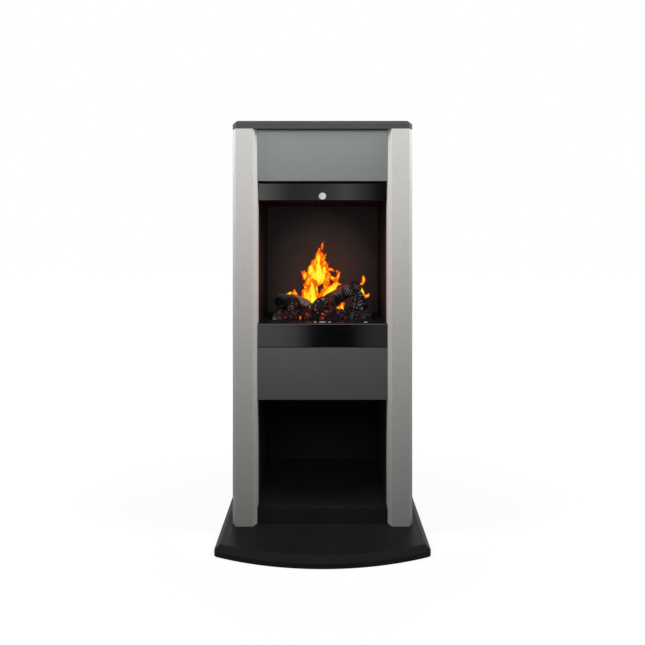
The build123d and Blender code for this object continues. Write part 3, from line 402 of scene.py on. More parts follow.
def moulded(name, colour, gloss, grain=600.0, spread=0.1, level=0.5):
    """Moulded plastic: fine spark texture, with a slow cloud in the colour and the gloss."""
    plastic = Finish(name)
    spark = plastic.noise(grain, 3.0, 0.6)
    cloud = plastic.noise(20.0, 4.0, 0.6)
    tone = plastic.ramp(cloud, (0.3, shade(colour, 1 - spread)), (0.75, shade(colour, 1 + spread)))
    plastic.set(Base_Color=tone, Roughness=plastic.spread(cloud, gloss - 0.05, gloss + 0.08))
    plastic.set(Specular_IOR_Level=level)
    plastic.bump(spark, 0.12, 0.0003)
    return plastic


def metal(name, colour, gloss, lay=(1.0, 1.0, 1.0), grain=300.0, spread=0.12):
    """Bare metal: fine lines along the rolling direction and patches of differing gloss."""
    bare = Finish(name)
    lines = bare.noise(grain, 4.0, 0.65, bare.stretched(lay))
    patch = bare.noise(25.0, 4.0, 0.6)
    tone = bare.ramp(lines, (0.3, shade(colour, 1 - spread)), (0.75, shade(colour, 1 + spread)))
    bare.set(Base_Color=tone, Metallic=1.0, Roughness=bare.spread(patch, gloss - 0.08, gloss + 0.12))
    bare.bump(lines, 0.08, 0.0003)
    return bare.material


def galvanised():
    """Galvanised sheet: large spangle crystals of differing grey."""
    zinc = Finish("galvanised sheet")
    level = zinc.node("ShaderNodeSeparateColor")
    zinc.link(zinc.cells(90.0, "F1").outputs["Color"], level.inputs["Color"])
    tone = zinc.ramp(level.outputs["Red"], (0.0, (0.42, 0.43, 0.44)), (1.0, (0.66, 0.67, 0.68)))
    zinc.set(Base_Color=tone, Metallic=1.0)
    zinc.set(Roughness=zinc.spread(level.outputs["Green"], 0.3, 0.5))
    zinc.bump(zinc.noise(400.0, 3.0), 0.05, 0.0003)
    return zinc.material


def tank_plastic():
    """Translucent blow moulding of the water tank: milky, with a slow change of wall tone."""
    tank = moulded("tank translucent", (0.62, 0.7, 0.74), 0.28, 200.0, 0.06)
    tank.set(Transmission_Weight=0.12, IOR=1.45)
    return tank.material


def filter_sheet():
    """Amber sheet over the lamps."""
    amber = moulded("amber filter", (0.85, 0.3, 0.04), 0.3, 500.0, 0.15)
    amber.set(Transmission_Weight=0.5, Alpha=0.75)
    return amber.material


def circuit():
    """Lacquered board with a fine network of paler tracks."""
    board = Finish("circuit green")
    tracks = board.cells(260.0, "DISTANCE_TO_EDGE").outputs["Distance"]
    tone = board.ramp(tracks, (0.03, (0.06, 0.22, 0.1)), (0.09, (0.015, 0.11, 0.045)))
    board.set(Base_Color=tone, Roughness=board.spread(tracks, 0.45, 0.25))
    board.bump(tracks, 0.2, 0.0002)
    return board.material


def laminations():
    """Varnished iron sheets of the transformer core: thin dark lines across a brown varnish."""
    core = Finish("core laminations")
    lines = core.noise(900.0, 2.0, 0.5, core.stretched((0.05, 1.0, 0.05)))
    tone = core.ramp(lines, (0.35, (0.045, 0.038, 0.03)), (0.65, (0.14, 0.12, 0.1)))
    core.set(Base_Color=tone, Roughness=core.spread(lines, 0.35, 0.55))
    core.bump(lines, 0.25, 0.0004)
    return core.material


# Charred wood and embers

def charred_bark(name, seed, low, high, warmth=1.0):
    """Charred bark by a piece's own numbers: relief for the cracks, the ash numbers for grey ash and
    painted highlight, glow for painted red light.
    """
    bark = Finish(name)
    relief = bark.painted("relief")
    ash = bark.painted("ash")
    glow = bark.painted("glow")
    fleck = bark.noise(420.0, 6.0, 0.7)
    patch = bark.noise(60.0 + seed, 5.0, 0.65)
    # colour by height: near black in the cracks and up to 2.8 times the high colour on the crowns,
    # char colour with painted shade in the cracks and painted highlight on the crowns
    body = bark.ramp(relief, (0.0, (0.0008, 0.0008, 0.0011)), (0.3, shade(low, 0.3)), (0.52, low),
                     (0.76, high), (1.0, shade(high, 2.8)))
    mottled = bark.mix(bark.spread(patch, 0.0, 0.8, 0.35, 0.75), body, shade(low, 0.5))
    flecked = bark.ramp(fleck, (0.0, (0.5, 0.5, 0.5)), (0.55, (0.9, 0.9, 0.9)),
                        (0.72, (2.0, 1.9, 1.85)))
    dark = bark.mix(0.8, mottled, flecked, "MULTIPLY")
    # the pale grey laid on by the ash numbers: ash colour, and painted highlight where the logs put it
    # on their tops and crowns
    dust = bark.ramp(fleck, (0.3, (0.2, 0.18, 0.18)), (0.7, (0.62, 0.56, 0.57)))
    cover = bark.sum("MULTIPLY", ash, bark.spread(fleck, 0.3, 1.5, 0.3, 0.7), True)
    bark.set(Base_Color=bark.mix(cover, dark, dust))
    bark.set(Roughness=bark.spread(fleck, 0.45, 0.85), Specular_IOR_Level=0.14)
    # painted red light: emission where a piece's glow numbers are, patchy
    hot = bark.sum("MULTIPLY", glow, bark.spread(patch, 0.2, 1.6, 0.35, 0.7))
    bark.set(Emission_Color=bark.ramp(hot, (0.0, (0.0, 0.0, 0.0)), (0.35, (0.1, 0.004, 0.002)),
                                      (0.7, (0.5, 0.03, 0.006)), (1.0, (1.0, 0.16, 0.02))))
    bark.set(Emission_Strength=warmth)
    bark.bump(bark.noise(700.0, 5.0, 0.7), 0.5, 0.0012)
    return bark.material


def flame_light():
    """Lit mist: a thin red edge, orange inside it and a yellow body, torn by rising streaks."""
    fire = Finish("flame light")
    heat = fire.painted("warmth")
    streak = fire.noise(90.0, 4.0, 0.55, fire.stretched((1.0, 0.6, 0.3), (0.0, 0.2, 0.0)))
    curl = fire.noise(150.0, 3.0, 0.55, fire.stretched((1.0, 0.6, 0.5), (0.0, -0.4, 0.0)))
    stir = fire.sum("ADD", fire.spread(streak, -0.5, 0.42, 0.32, 0.68),
                    fire.spread(curl, -0.2, 0.2, 0.3, 0.7))
    warm = fire.sum("ADD", heat, stir, True)
    colour = fire.ramp(warm, (0.0, (0.3, 0.008, 0.002)), (0.16, (0.9, 0.06, 0.004)),
                       (0.36, (1.0, 0.2, 0.005)), (0.55, (1.0, 0.46, 0.008)),
                       (0.78, (1.0, 0.84, 0.015)), (1.0, (1.0, 0.93, 0.06)))
    fire.set(Base_Color=(0.0, 0.0, 0.0, 1.0), Specular_IOR_Level=0.0, Roughness=1.0)
    fire.set(Emission_Color=colour, Emission_Strength=1.0)
    fire.set(Alpha=fire.spread(warm, 0.0, 1.0, 0.03, 0.16))
    return fire.material


# Logs

def axis_frame(start, end):
    """Two unit vectors square to the line from start to end, the second as near to up as can be."""
    along = (end - start) / np.linalg.norm(end - start)
    side = np.cross(along, np.array([0.0, 0.0, 1.0]))
    side = side / np.linalg.norm(side)
    return side, np.cross(side, along)


def log_rings(start, end, radii, bumps):
    """Rings along a straight axis, and what bumps gives as extra: the radius runs through the
    given ones, closes over each end by an ellipse arc, and is multiplied by 1 + relief."""
    around = 120
    end_rings, middle_rings = 13, 124
    end_share = 0.05
    dome = 0.35
    side, up = axis_frame(start, end)
    length = np.linalg.norm(end - start)
    near = np.linspace(0.0, end_share, end_rings + 1)[:-1]
    middle = np.linspace(end_share, 1.0 - end_share, middle_rings)
    far = np.linspace(1.0 - end_share, 1.0, end_rings + 1)[1:]
    place = np.concatenate([near, middle, far])
    radius = np.interp(place, np.linspace(0, 1, len(radii)), radii)
    inset = dome * radius / length
    from_end = np.minimum(place, 1.0 - place) / inset
    cap = np.sqrt(np.clip(1.0 - np.clip(1.0 - from_end, 0.0, 1.0) ** 2, 0.004, 1.0))
    angle = np.linspace(0.0, 2 * math.pi, around, endpoint=False)
    centre = start + np.outer(place, end - start)
    spoke = np.outer(np.cos(angle), side) + np.outer(np.sin(angle), up)
    plain = centre[:, None] + (radius * cap)[:, None, None] * spoke[None]
    relief, extra = bumps(place[:, None] + 0 * angle[None], angle[None] + 0 * place[:, None], plain)
    reach = (radius * cap)[:, None] * (1.0 + relief)
    return centre[:, None] + reach[..., None] * spoke[None], extra


def log_piece(name, start, end, radii, bumps, cad_node):
    """A log with its cracks, its grey of ash and painted highlight, and its painted red glow kept as
    numbers on its points.
    """
    rings, extra = log_rings(start, end, radii, bumps)
    piece = tube_object(name, [rings])
    for key, values in extra.items():
        paint(piece, key, with_poles(values))
    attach(piece, "log_set")
    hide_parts(cad_node)
    return piece


def cracked(points, scale, seed):
    """Charred blocks: 0 in the cracks between cells and 1 on their crowns."""
    warped = points * scale + 0.35 * rough_noise(points * scale * 0.9, seed + 40, 2)[..., None]
    first, second = nearest_seed(warped, seed)
    return np.clip((second - first) * 2.2, 0.0, 1.0)


def left_log_bumps(along, angle, points):
    """Round charred butt with radial cracks, rough bark behind it."""
    blocks = cracked(points, 120.0, 3)
    coarse = rough_noise(points * 45.0, 11, 3)
    butt = np.clip(1.0 - along / 0.2, 0.0, 1.0)
    relief = (0.09 + 0.05 * butt) * (blocks - 0.6) + 0.06 * coarse
    # glow is painted red light in the butt's cracks; crest, a lighter band along the top, and crowns,
    # on the butt's block crowns, are painted highlight that joins the scales in the grey of ash and
    # painted highlight
    glow = np.clip(1.0 - blocks * 4.0, 0.0, 1.0) * butt * np.clip(0.4 + 1.2 * coarse, 0.0, 1.0)
    crest = np.clip(np.sin(angle) * 1.6 - 0.75, 0.0, 1.0) * np.clip(along * 2.4 - 0.1, 0.0, 1.0)
    crowns = butt * np.clip(blocks * 2.0 - 1.3, 0.0, 1.0) * np.clip(0.3 + coarse, 0.0, 1.0)
    height = blocks * 0.75 + 0.15 * coarse
    scales = 0.28 * np.clip(blocks * 2.0 - 1.2, 0.0, 1.0) * np.clip(0.2 + coarse, 0.0, 1.0)
    ash = 0.5 * crest + 0.75 * crowns + 1.6 * scales
    return relief, {"relief": height, "ash": ash, "glow": 0.5 * glow}


def long_log_bumps(along, angle, points):
    """Charred chunk at the front, a waist with painted red glow, then bark in rings up to the sawn
    end.
    """
    blocks = cracked(points, 80.0, 5)
    coarse = rough_noise(points * 50.0, 23, 3)
    wander = 0.02 * smooth_noise(points * 42.0, 31) + 0.008 * smooth_noise(points * 150.0, 33)
    lean = 0.8 * np.sin(angle * 2.0 + 5.0 * along)
    ring = 0.5 + 0.5 * np.sin(2 * math.pi * (along + wander) * 24.0 + lean)
    # facing: up and to one side, where the ring lines and the chunk's crowns get painted highlight
    facing = np.clip(0.6 * np.sin(angle) + 0.55 * np.cos(angle) + 0.15, 0.0, 1.0)
    broken = np.clip(0.5 + 1.1 * rough_noise(points * 75.0, 37, 3), 0.0, 1.0)
    ridge = ring ** 1.2 * broken + 0.12 * smooth_noise(points * 260.0, 39)
    front = 1.0 / (1.0 + np.exp((along - 0.27) * 70.0))
    waist = np.exp(-((along - 0.32) / 0.045) ** 2)
    relief = front * (0.13 * (blocks - 0.5) + 0.07 * coarse + 0.06)
    relief = relief + (1 - front) * (0.07 * ridge - 0.03 + 0.08 * coarse) - 0.1 * waist
    height = front * blocks + (1 - front) * (0.12 + 0.85 * ridge)
    # painted red light: round the waist, strongest underneath, and in the cracks of the front chunk
    under = np.clip(0.75 - 0.5 * np.sin(angle), 0.3, 1.0)
    patchy = np.clip(0.5 + 0.9 * rough_noise(points * 70.0, 29, 2), 0.05, 1.0)
    glow = waist * under * patchy * 0.85
    glow = glow + front * np.clip(0.35 - blocks, 0.0, 1.0) * np.clip(coarse, 0.0, 1.0) * 0.9
    fade = np.clip(1.35 - 1.1 * along, 0.0, 1.0)
    lines = ring ** 2.0 * broken + 0.22 * np.clip(0.5 + coarse, 0.0, 1.0)
    # grey ring lines and chunk crowns on the faces turned up and to the side: ash and painted
    # highlight
    ash = (1 - front) * lines * facing * fade * 0.52
    ash = ash + front * blocks ** 3 * 0.4 * np.clip(facing + 0.2 + coarse, 0.0, 1.0)
    return relief, {"relief": height, "ash": ash * (1 - waist), "glow": glow}


def ash_log_bumps(along, angle, points):
    """Burnt-through branch with a thick white crest along its top, ash with painted highlight, and
    painted red light in the cracks underneath.
    """
    blocks = cracked(points, 120.0, 7)
    coarse = rough_noise(points * 70.0, 43, 3)
    relief = 0.12 * (blocks - 0.5) + 0.12 * coarse
    # crest is white along the top, ash with painted highlight; glow is painted red light in the cracks
    # underneath
    crest = np.clip(np.sin(angle) * 1.8 + 0.45 + 0.5 * coarse, 0.0, 1.0)
    glow = np.clip(0.3 - blocks, 0.0, 1.0) * np.clip(-np.sin(angle), 0.0, 1.0) * 1.5
    ash = crest * (0.45 + 0.55 * blocks)
    return relief, {"relief": blocks * 0.8, "ash": ash, "glow": glow}


def right_log_bumps(along, angle, points):
    """Standing stub: coarse charred blocks with grey ash on the crowns that face the front."""
    blocks = cracked(points, 85.0, 9)
    coarse = rough_noise(points * 55.0, 53, 3)
    relief = 0.13 * (blocks - 0.5) + 0.09 * coarse
    patch = np.clip(0.25 + 1.1 * rough_noise(points * 40.0, 57, 2), 0.0, 1.0)
    # glow: painted red light in the cracks
    glow = np.clip(0.25 - blocks, 0.0, 1.0) * np.clip(coarse, 0.0, 1.0) * 1.2
    crown = np.clip(along * 2.0 - 0.9, 0.0, 1.0)
    ash = (0.42 + 0.5 * crown) * patch * blocks ** 2
    return relief, {"relief": blocks, "ash": ash, "glow": glow}


# Each log: the node that it stands for, its bumps, both ends of its axis from the middle of the
# bed's front edge on the hearth, radii along it, and the seed, colours and warmth (the strength of its
# painted red light) of its bark
LOGS = (
    ("left_log", left_log_bumps, (-0.072, 0.0125, 0.039), (-0.116, 0.079, 0.045),
     (0.0195, 0.0215, 0.021, 0.018),
     (0.0, (0.016, 0.015, 0.02), (0.1, 0.085, 0.092), 0.8)),
    ("long_log", long_log_bumps, (-0.026, 0.0145, 0.024), (0.097, 0.08, 0.084),
     (0.0165, 0.0205, 0.0195, 0.018, 0.018, 0.017),
     (11.0, (0.03, 0.026, 0.024), (0.21, 0.165, 0.135), 1.0)),
    ("ash_log", ash_log_bumps, (-0.086, 0.062, 0.052), (-0.034, 0.044, 0.033),
     (0.012, 0.014, 0.013, 0.011),
     (23.0, (0.02, 0.019, 0.022), (0.11, 0.1, 0.105), 0.8)),
    ("right_log", right_log_bumps, (0.101, 0.0135, 0.028), (0.092, 0.066, 0.062),
     (0.0165, 0.019, 0.0175, 0.0155),
     (37.0, (0.015, 0.017, 0.022), (0.12, 0.13, 0.155), 0.8)),
)


def make_logs():
    """The four logs, each on the axis of the solid that it stands for."""
    foot = np.array([0.0, bed_low[1], hearth])
    for node, bumps, start, end, radii, bark in LOGS:
        piece = log_piece(node + "_bark", foot + start, foot + end, radii, bumps, node)
        piece.data.materials.append(charred_bark(node.replace("_", " ") + " bark", *bark))


# Ember bed

def bed_height(across, back):
    """Share of the heap's full height: a plateau that falls to nothing at its rim by parabolas."""
    side_slope = 0.24
    front_slope = 0.42
    edge_x = np.clip((1.0 - np.abs(across)) / side_slope, 0.0, 1.0)
    edge_y = np.clip((1.0 - np.abs(back)) / front_slope, 0.0, 1.0)
    return (1.0 - (1.0 - edge_x) ** 2) * (1.0 - (1.0 - edge_y) ** 2)


def bed_place(across, back, margin):
    """Places on the bed for shares from -1 to 1, a margin inside the sides of its box."""
    middle = (bed_low + bed_high) / 2
    half = (bed_high - bed_low) / 2
    return middle[0] + across * (half[0] - margin), middle[1] + back * (half[1] - margin)


def heap_points(x, y, base, swell):
    """The base grid moved by the swell along its normals and kept in the bed's box, and under it
    the same grid flat on the hearth."""
    floor_z = bed_low[2] + 0.0002
    thinnest = 0.0004
    rise_y, rise_x = np.gradient(base[..., 2], y[:, 0], x[0, :])
    outward = np.stack([-rise_x, -rise_y, np.ones_like(x)], axis=-1)
    outward = outward / np.linalg.norm(outward, axis=-1)[..., None]
    upper = base + swell[..., None] * outward
    upper[..., 2] = floor_z + thinnest + np.clip(upper[..., 2], 0.0, bed_high[2] - floor_z)
    upper[..., :2] = np.clip(upper[..., :2], bed_low[:2], bed_high[:2])
    lower = np.stack([x, y, np.full_like(x, floor_z)], axis=-1)
    return np.concatenate([upper.reshape(-1, 3), lower.reshape(-1, 3)])


def heap_faces(wide, deep):
    """Quads of the top, the same ones turned over for the underside, and a wall round the rim."""
    index = np.arange(wide * deep).reshape(deep, wide)
    top = np.stack([index[:-1, :-1], index[:-1, 1:], index[1:, 1:], index[1:, :-1]], axis=-1)
    top = top.reshape(-1, 4)
    rim = np.concatenate([index[0, :], index[1:, -1], index[-1, -2::-1], index[-2:0:-1, 0]])
    after = np.roll(rim, -1)
    under = wide * deep
    wall = np.stack([rim, rim + under, after + under, after], axis=-1)
    return [top, top[:, ::-1] + under, wall]


def make_ember_heap():
    """Heap of charred lumps: the plateau swollen by cell crowns, with painted red glow in the cracks.
    """
    wide, deep = 300, 130
    crest = 0.0185
    rim_margin = 0.005
    across, back = np.meshgrid(np.linspace(-1.0, 1.0, wide), np.linspace(-1.0, 1.0, deep))
    x, y = bed_place(across, back, rim_margin)
    plateau = bed_height(across, back)
    base = np.stack([x, y, crest * plateau], axis=-1)
    lumps = cracked(base, 85.0, 13)
    fine = cracked(base, 190.0, 17)
    coarse = rough_noise(base * 30.0, 61, 3)
    swell = 0.0062 * np.sqrt(lumps) + 0.0022 * fine + 0.0025 * coarse
    points = heap_points(x, y, base, np.clip(plateau * 5.0, 0.0, 1.0) * swell)
    heap = new_object("ember_heap", points, face_outwards(points, heap_faces(wide, deep)))
    flat = np.stack([x, y, np.zeros_like(x)], axis=-1)
    # painted red light in the cracks between lumps and in specks, strongest in the middle
    embers = np.clip(2.4 * rough_noise(flat * 75.0, 71, 2) - 0.5, 0.0, 1.6)
    specks = np.clip(rough_noise(flat * 140.0, 73, 2) - 0.62, 0.0, 1.0)
    hot = (np.clip(0.34 - lumps, 0.0, 1.0) * embers + specks) * 2.4
    hot = hot * np.clip(1.25 - np.abs(across + 0.1) * 1.05, 0.0, 1.0)
    ash = np.clip(rough_noise(flat * 55.0, 77, 3) - 0.45, 0.0, 1.0) * 0.8
    for key, values in (("relief", 0.55 * lumps + 0.35 * fine), ("ash", ash), ("glow", hot)):
        paint(heap, key, np.concatenate([values.ravel(), np.zeros(values.size)]))
    heap.data.materials.append(
        charred_bark("ember heap char", 5.0, (0.014, 0.0135, 0.016), (0.09, 0.08, 0.082), 0.9))
    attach(heap, "log_set")
    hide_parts("ember_bed")


def coal_rings(count, stretch, turn):
    """Balls of 9 rings with 12 points, dented by noise, stretched, and turned about the upright."""
    rows, around = 9, 12
    polar = np.linspace(0.12, math.pi - 0.12, rows)[:, None]
    angle = np.linspace(0, 2 * math.pi, around, endpoint=False)
    ball = np.stack([np.sin(polar) * np.cos(angle), np.sin(polar) * np.sin(angle),
                     np.cos(polar) + 0 * angle], axis=-1)
    seeds = 100 + np.arange(count)[:, None, None]
    dents = 1.0 + 0.28 * smooth_noise(ball * 2.1, seeds)
    shape = ball * dents[..., None] * stretch[:, None, None]
    cos = np.cos(turn)[:, None, None]
    sin = np.sin(turn)[:, None, None]
    turned_x = shape[..., 0] * cos - shape[..., 1] * sin
    turned_y = shape[..., 0] * sin + shape[..., 1] * cos
    return np.stack([turned_x, turned_y, shape[..., 2]], axis=-1)


def make_coals():
    """Loose coals that lie half sunk on the heap, some with ash, some with painted red glow at the
    underside.
    """
    random = np.random.default_rng(12)
    count = 330
    rim_margin = 0.009
    heap_rise = 0.017
    lift_share = 0.55
    lowest = bed_low[2] + 0.0005
    across = random.uniform(-0.97, 0.97, count)
    back = random.uniform(-0.95, 0.35, count)
    size = random.uniform(0.0028, 0.0078, count) * np.where(back < -0.75, 0.8, 1.0)
    # Six draws for each coal: three for its stretch, one for its turn, one spare, one for its kind
    draws = random.random((count, 6))
    stretch = (0.6 + 0.65 * draws[:, :3]) * size[:, None]
    kind = draws[:, 5]
    x, y = bed_place(across, back, rim_margin)
    z = bed_low[2] + heap_rise * bed_height(across, back) + lift_share * size
    rings = coal_rings(count, stretch, 2 * math.pi * draws[:, 3])
    rings = rings + np.stack([x, y, z], axis=-1)[:, None, None]
    rings[..., 2] = np.maximum(rings[..., 2], lowest)
    coals = tube_object("loose_coals", rings)
    points = np.stack([with_poles(single) for single in rings])
    ash = np.select([kind > 0.965, kind > 0.8], [0.4, 0.16], 0.0)
    ash = ash + np.maximum(0.0, across - 0.72) * 1.6
    # painted red light on the underside of some coals, strongest in the middle of the bed
    low_share = np.clip((z[:, None] - points[..., 2]) / size[:, None] + 0.5, 0.0, 1.0)
    heat = np.where(kind < 0.11, 1.25, 0.06) * np.maximum(0.0, 1.1 - np.abs(across + 0.1))
    paint(coals, "relief", 0.5 + 0.4 * smooth_noise(points * 300.0, 5))
    paint(coals, "ash", np.repeat(ash, points.shape[1]))
    paint(coals, "glow", low_share * heat[:, None])
    coals.data.materials.append(
        charred_bark("loose coal char", 3.0, (0.014, 0.0135, 0.017), (0.1, 0.088, 0.094), 1.0))
    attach(coals, "log_set")


# Flame

def lick(curve, widths, thick, heat_top, wave):
    """One tongue: flat oval rings along a curve, their half width running through the given ones,
    and heat that falls from the middle to the edges and towards the tip."""
    count, around = 44, 20
    spine = smooth_path(curve, count)
    share = np.linspace(0.0, 1.0, count)
    width = np.interp(share, np.linspace(0, 1, len(widths)), widths)
    tangent = np.gradient(spine, axis=0)
    tangent = tangent / np.linalg.norm(tangent, axis=1)[:, None]
    side = np.cross(tangent, np.array([0.0, 1.0, 0.0]))
    side = side / np.linalg.norm(side, axis=1)[:, None]
    angle = np.linspace(0, 2 * math.pi, around, endpoint=False)
    ripple = 1.0 + 0.22 * np.sin(share * 17.0 + wave) * share
    half = (width * ripple)[:, None]
    across = np.cos(angle)[None, :]
    body = np.sin(angle)[None, :] * thick
    sway = 0.004 * np.sin(share * 7.0 + wave)
    rings = spine[:, None] + (half * across)[..., None] * side[:, None]
    rings = rings + (half * body + sway[:, None])[..., None] * np.array([0.0, 1.0, 0.0])
    foot = np.clip(0.5 + 3.0 * share[:, None], 0.0, 1.0)
    heat = (1.0 - np.abs(across) ** 2.6) * (1.0 - share[:, None] ** 3.0) * foot * heat_top
    return rings, heat


# Each tongue: points across, back and up from the middle of the slot that the mist rises from,
# and half widths along them, in millimetres; then thickness as a share of width, heat and wave
MAIN_TONGUES = (
    (((-26, 0, 18), (-32, 0, 40), (-32, 0, 62), (-27, 0, 84), (-20, 2, 106)),
     (20, 25, 22, 15, 5), 0.3, 1.15, 0.0),
    (((-20, 8, 50), (-21, 8, 80), (-13, 8, 104), (-10, 8, 124), (-13, 8, 144), (-11, 6, 166)),
     (10, 10, 23, 22, 15, 3), 0.3, 1.15, 0.5),
    (((5, 5, 18), (4, 5, 38), (4, 5, 56), (4, 5, 74)), (24, 24, 18, 9), 0.3, 0.62, 2.4),
    (((4, 0, 36), (16, 0, 60), (28, 0, 78), (38, 0, 87), (52, 0, 86)),
     (17, 17, 13, 8, 1), 0.3, 0.98, 0.8),
    (((9, 6, 60), (10, 6, 84), (14, 6, 102), (10, 6, 124)), (7, 8, 11, 7), 0.3, 0.6, 1.0),
    (((6, 6, 104), (18, 6, 105), (30, 6, 101), (38, 6, 93)), (9, 7, 6.5, 3), 0.3, 0.58, 1.4),
    (((0, 4, 112), (6, 4, 130), (8, 4, 143), (3, 4, 156)), (13, 11, 8, 3), 0.3, 0.9, 2.0),
    (((-34, 6, 84), (-33, 6, 108), (-28, 6, 130), (-20, 6, 150), (-12, 6, 170)),
     (8, 13, 11, 9, 3), 0.35, 0.78, 0.9),
    (((-38, 6, 84), (-42, 6, 100), (-45, 6, 111), (-51, 7, 118), (-59, 7, 122)),
     (11, 13, 11, 8, 3), 0.35, 0.64, 1.2),
    (((-12, 4, 138), (-9, 4, 155), (-7, 4, 170), (-5, 4, 184), (3, 4, 203)),
     (14, 12, 10, 6, 1), 0.35, 0.62, 0.4),
    (((4, 2, 129), (18, 2, 128), (30, 2, 125), (40, 2, 121), (49, 2, 118)),
     (7, 5, 4.5, 4, 1.5), 0.4, 0.56, 3.1),
    (((45, 2, 120), (43, 2, 111), (39, 2, 102), (33, 2, 93)), (2.5, 4, 5, 6), 0.4, 0.56, 0.3),
    (((4, 4, 132), (12, 4, 142), (19, 4, 147)), (8, 5, 1.5), 0.4, 0.56, 2.9),
    (((-4, 4, 150), (4, 4, 160), (10, 4, 170)), (8, 5, 1.5), 0.4, 0.56, 0.6),
    (((-38, 7, 70), (-46, 7, 82), (-53, 7, 88)), (8, 6, 1.5), 0.4, 0.56, 1.9),
    (((-42, 4, 34), (-48, 4, 52), (-47, 4, 66), (-40, 4, 80)), (8, 10, 9, 4), 0.4, 0.7, 1.9),
)
SMALL_TONGUES = (
    (((-72, 10, 50), (-74, 10, 63), (-80, 10, 75)), (5.5, 5, 1), 0.5, 0.68, 0.6),
    (((-72, 10, 62), (-86, 10, 63), (-98, 10, 59), (-111, 10, 56)), (4, 4, 3, 1), 0.5, 0.5, 1.6),
    (((105, 24, 84), (111, 24, 91), (113, 24, 101), (108, 24, 108), (99, 24, 114)),
     (2, 6, 6, 4, 1), 0.5, 0.5, 0.9),
    (((113, 24, 42), (112, 24, 53), (110, 24, 64), (108, 24, 76)), (6, 8, 6, 1), 0.5, 0.82, 2.0),
    (((116, 24, 50), (124, 24, 55), (131, 24, 60), (139, 24, 61)), (5, 4, 3.5, 1), 0.5, 0.58, 2.7),
    (((53, -44, 12), (47, -44, 22), (50, -44, 33), (60, -44, 46)), (9, 11, 8, 1.5), 0.5, 0.95, 0.2),
    (((52, -44, 12), (60, -44, 15), (66, -44, 22)), (5, 4, 1), 0.5, 0.55, 1.2),
)


def make_flame():
    """The flame of lit mist: tongues that rise from the slot behind the logs and join in one piece."""
    slot = np.array([0.0, 0.072, hearth])
    millimetre = 0.001
    tubes = []
    heats = []
    for curve, widths, thick, top, wave in MAIN_TONGUES + SMALL_TONGUES:
        spine = np.array(curve) * millimetre + slot
        rings, heat = lick(spine, np.array(widths) * millimetre, thick, top, wave)
        tubes.append(rings)
        heats.append(with_poles(heat))
    flame = tube_object("mist_flame", tubes)
    paint(flame, "warmth", np.concatenate(heats))
    flame.data.materials.append(flame_light())
    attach(flame, "log_set")


# Black bar behind the gap over the upper glass: painted shade for the dark gap

def make_gap_shade_bar():
    """Black bar across the gap, painted shade that darkens it: each ring is a rounded bar, the ellipse
    of half the depth and half the height with its cosine raised to 0.6 and its sine to 0.8."""
    glass_low, glass_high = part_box("upper_glass")
    panel_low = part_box("upper_front_panel")[0]
    steps, around = 160, 28
    end_gap = 0.0005
    half_deep, half_high = 0.002, 0.009
    middle_y = glass_high[1] + 0.0022
    middle_z = (glass_high[2] + panel_low[2]) / 2
    x = np.linspace(glass_low[0] + end_gap, glass_high[0] - end_gap, steps)
    angle = np.linspace(0, 2 * math.pi, around, endpoint=False)
    y = middle_y - half_deep * np.sign(np.cos(angle)) * np.abs(np.cos(angle)) ** 0.6
    z = middle_z + half_high * np.sign(np.sin(angle)) * np.abs(np.sin(angle)) ** 0.8
    shade_bar = tube_object("gap_shade_bar", [np.stack(np.broadcast_arrays(x[:, None], y, z), axis=-1)])
    # near-black bar that stands for the shade in the gap
    shade_black = moulded("gap shade black", (0.006, 0.006, 0.006), 0.9, 700.0, 0.3, 0.1)
    shade_bar.data.materials.append(shade_black.material)
    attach(shade_bar, "cabinet")


# Finishes for the CAD nodes

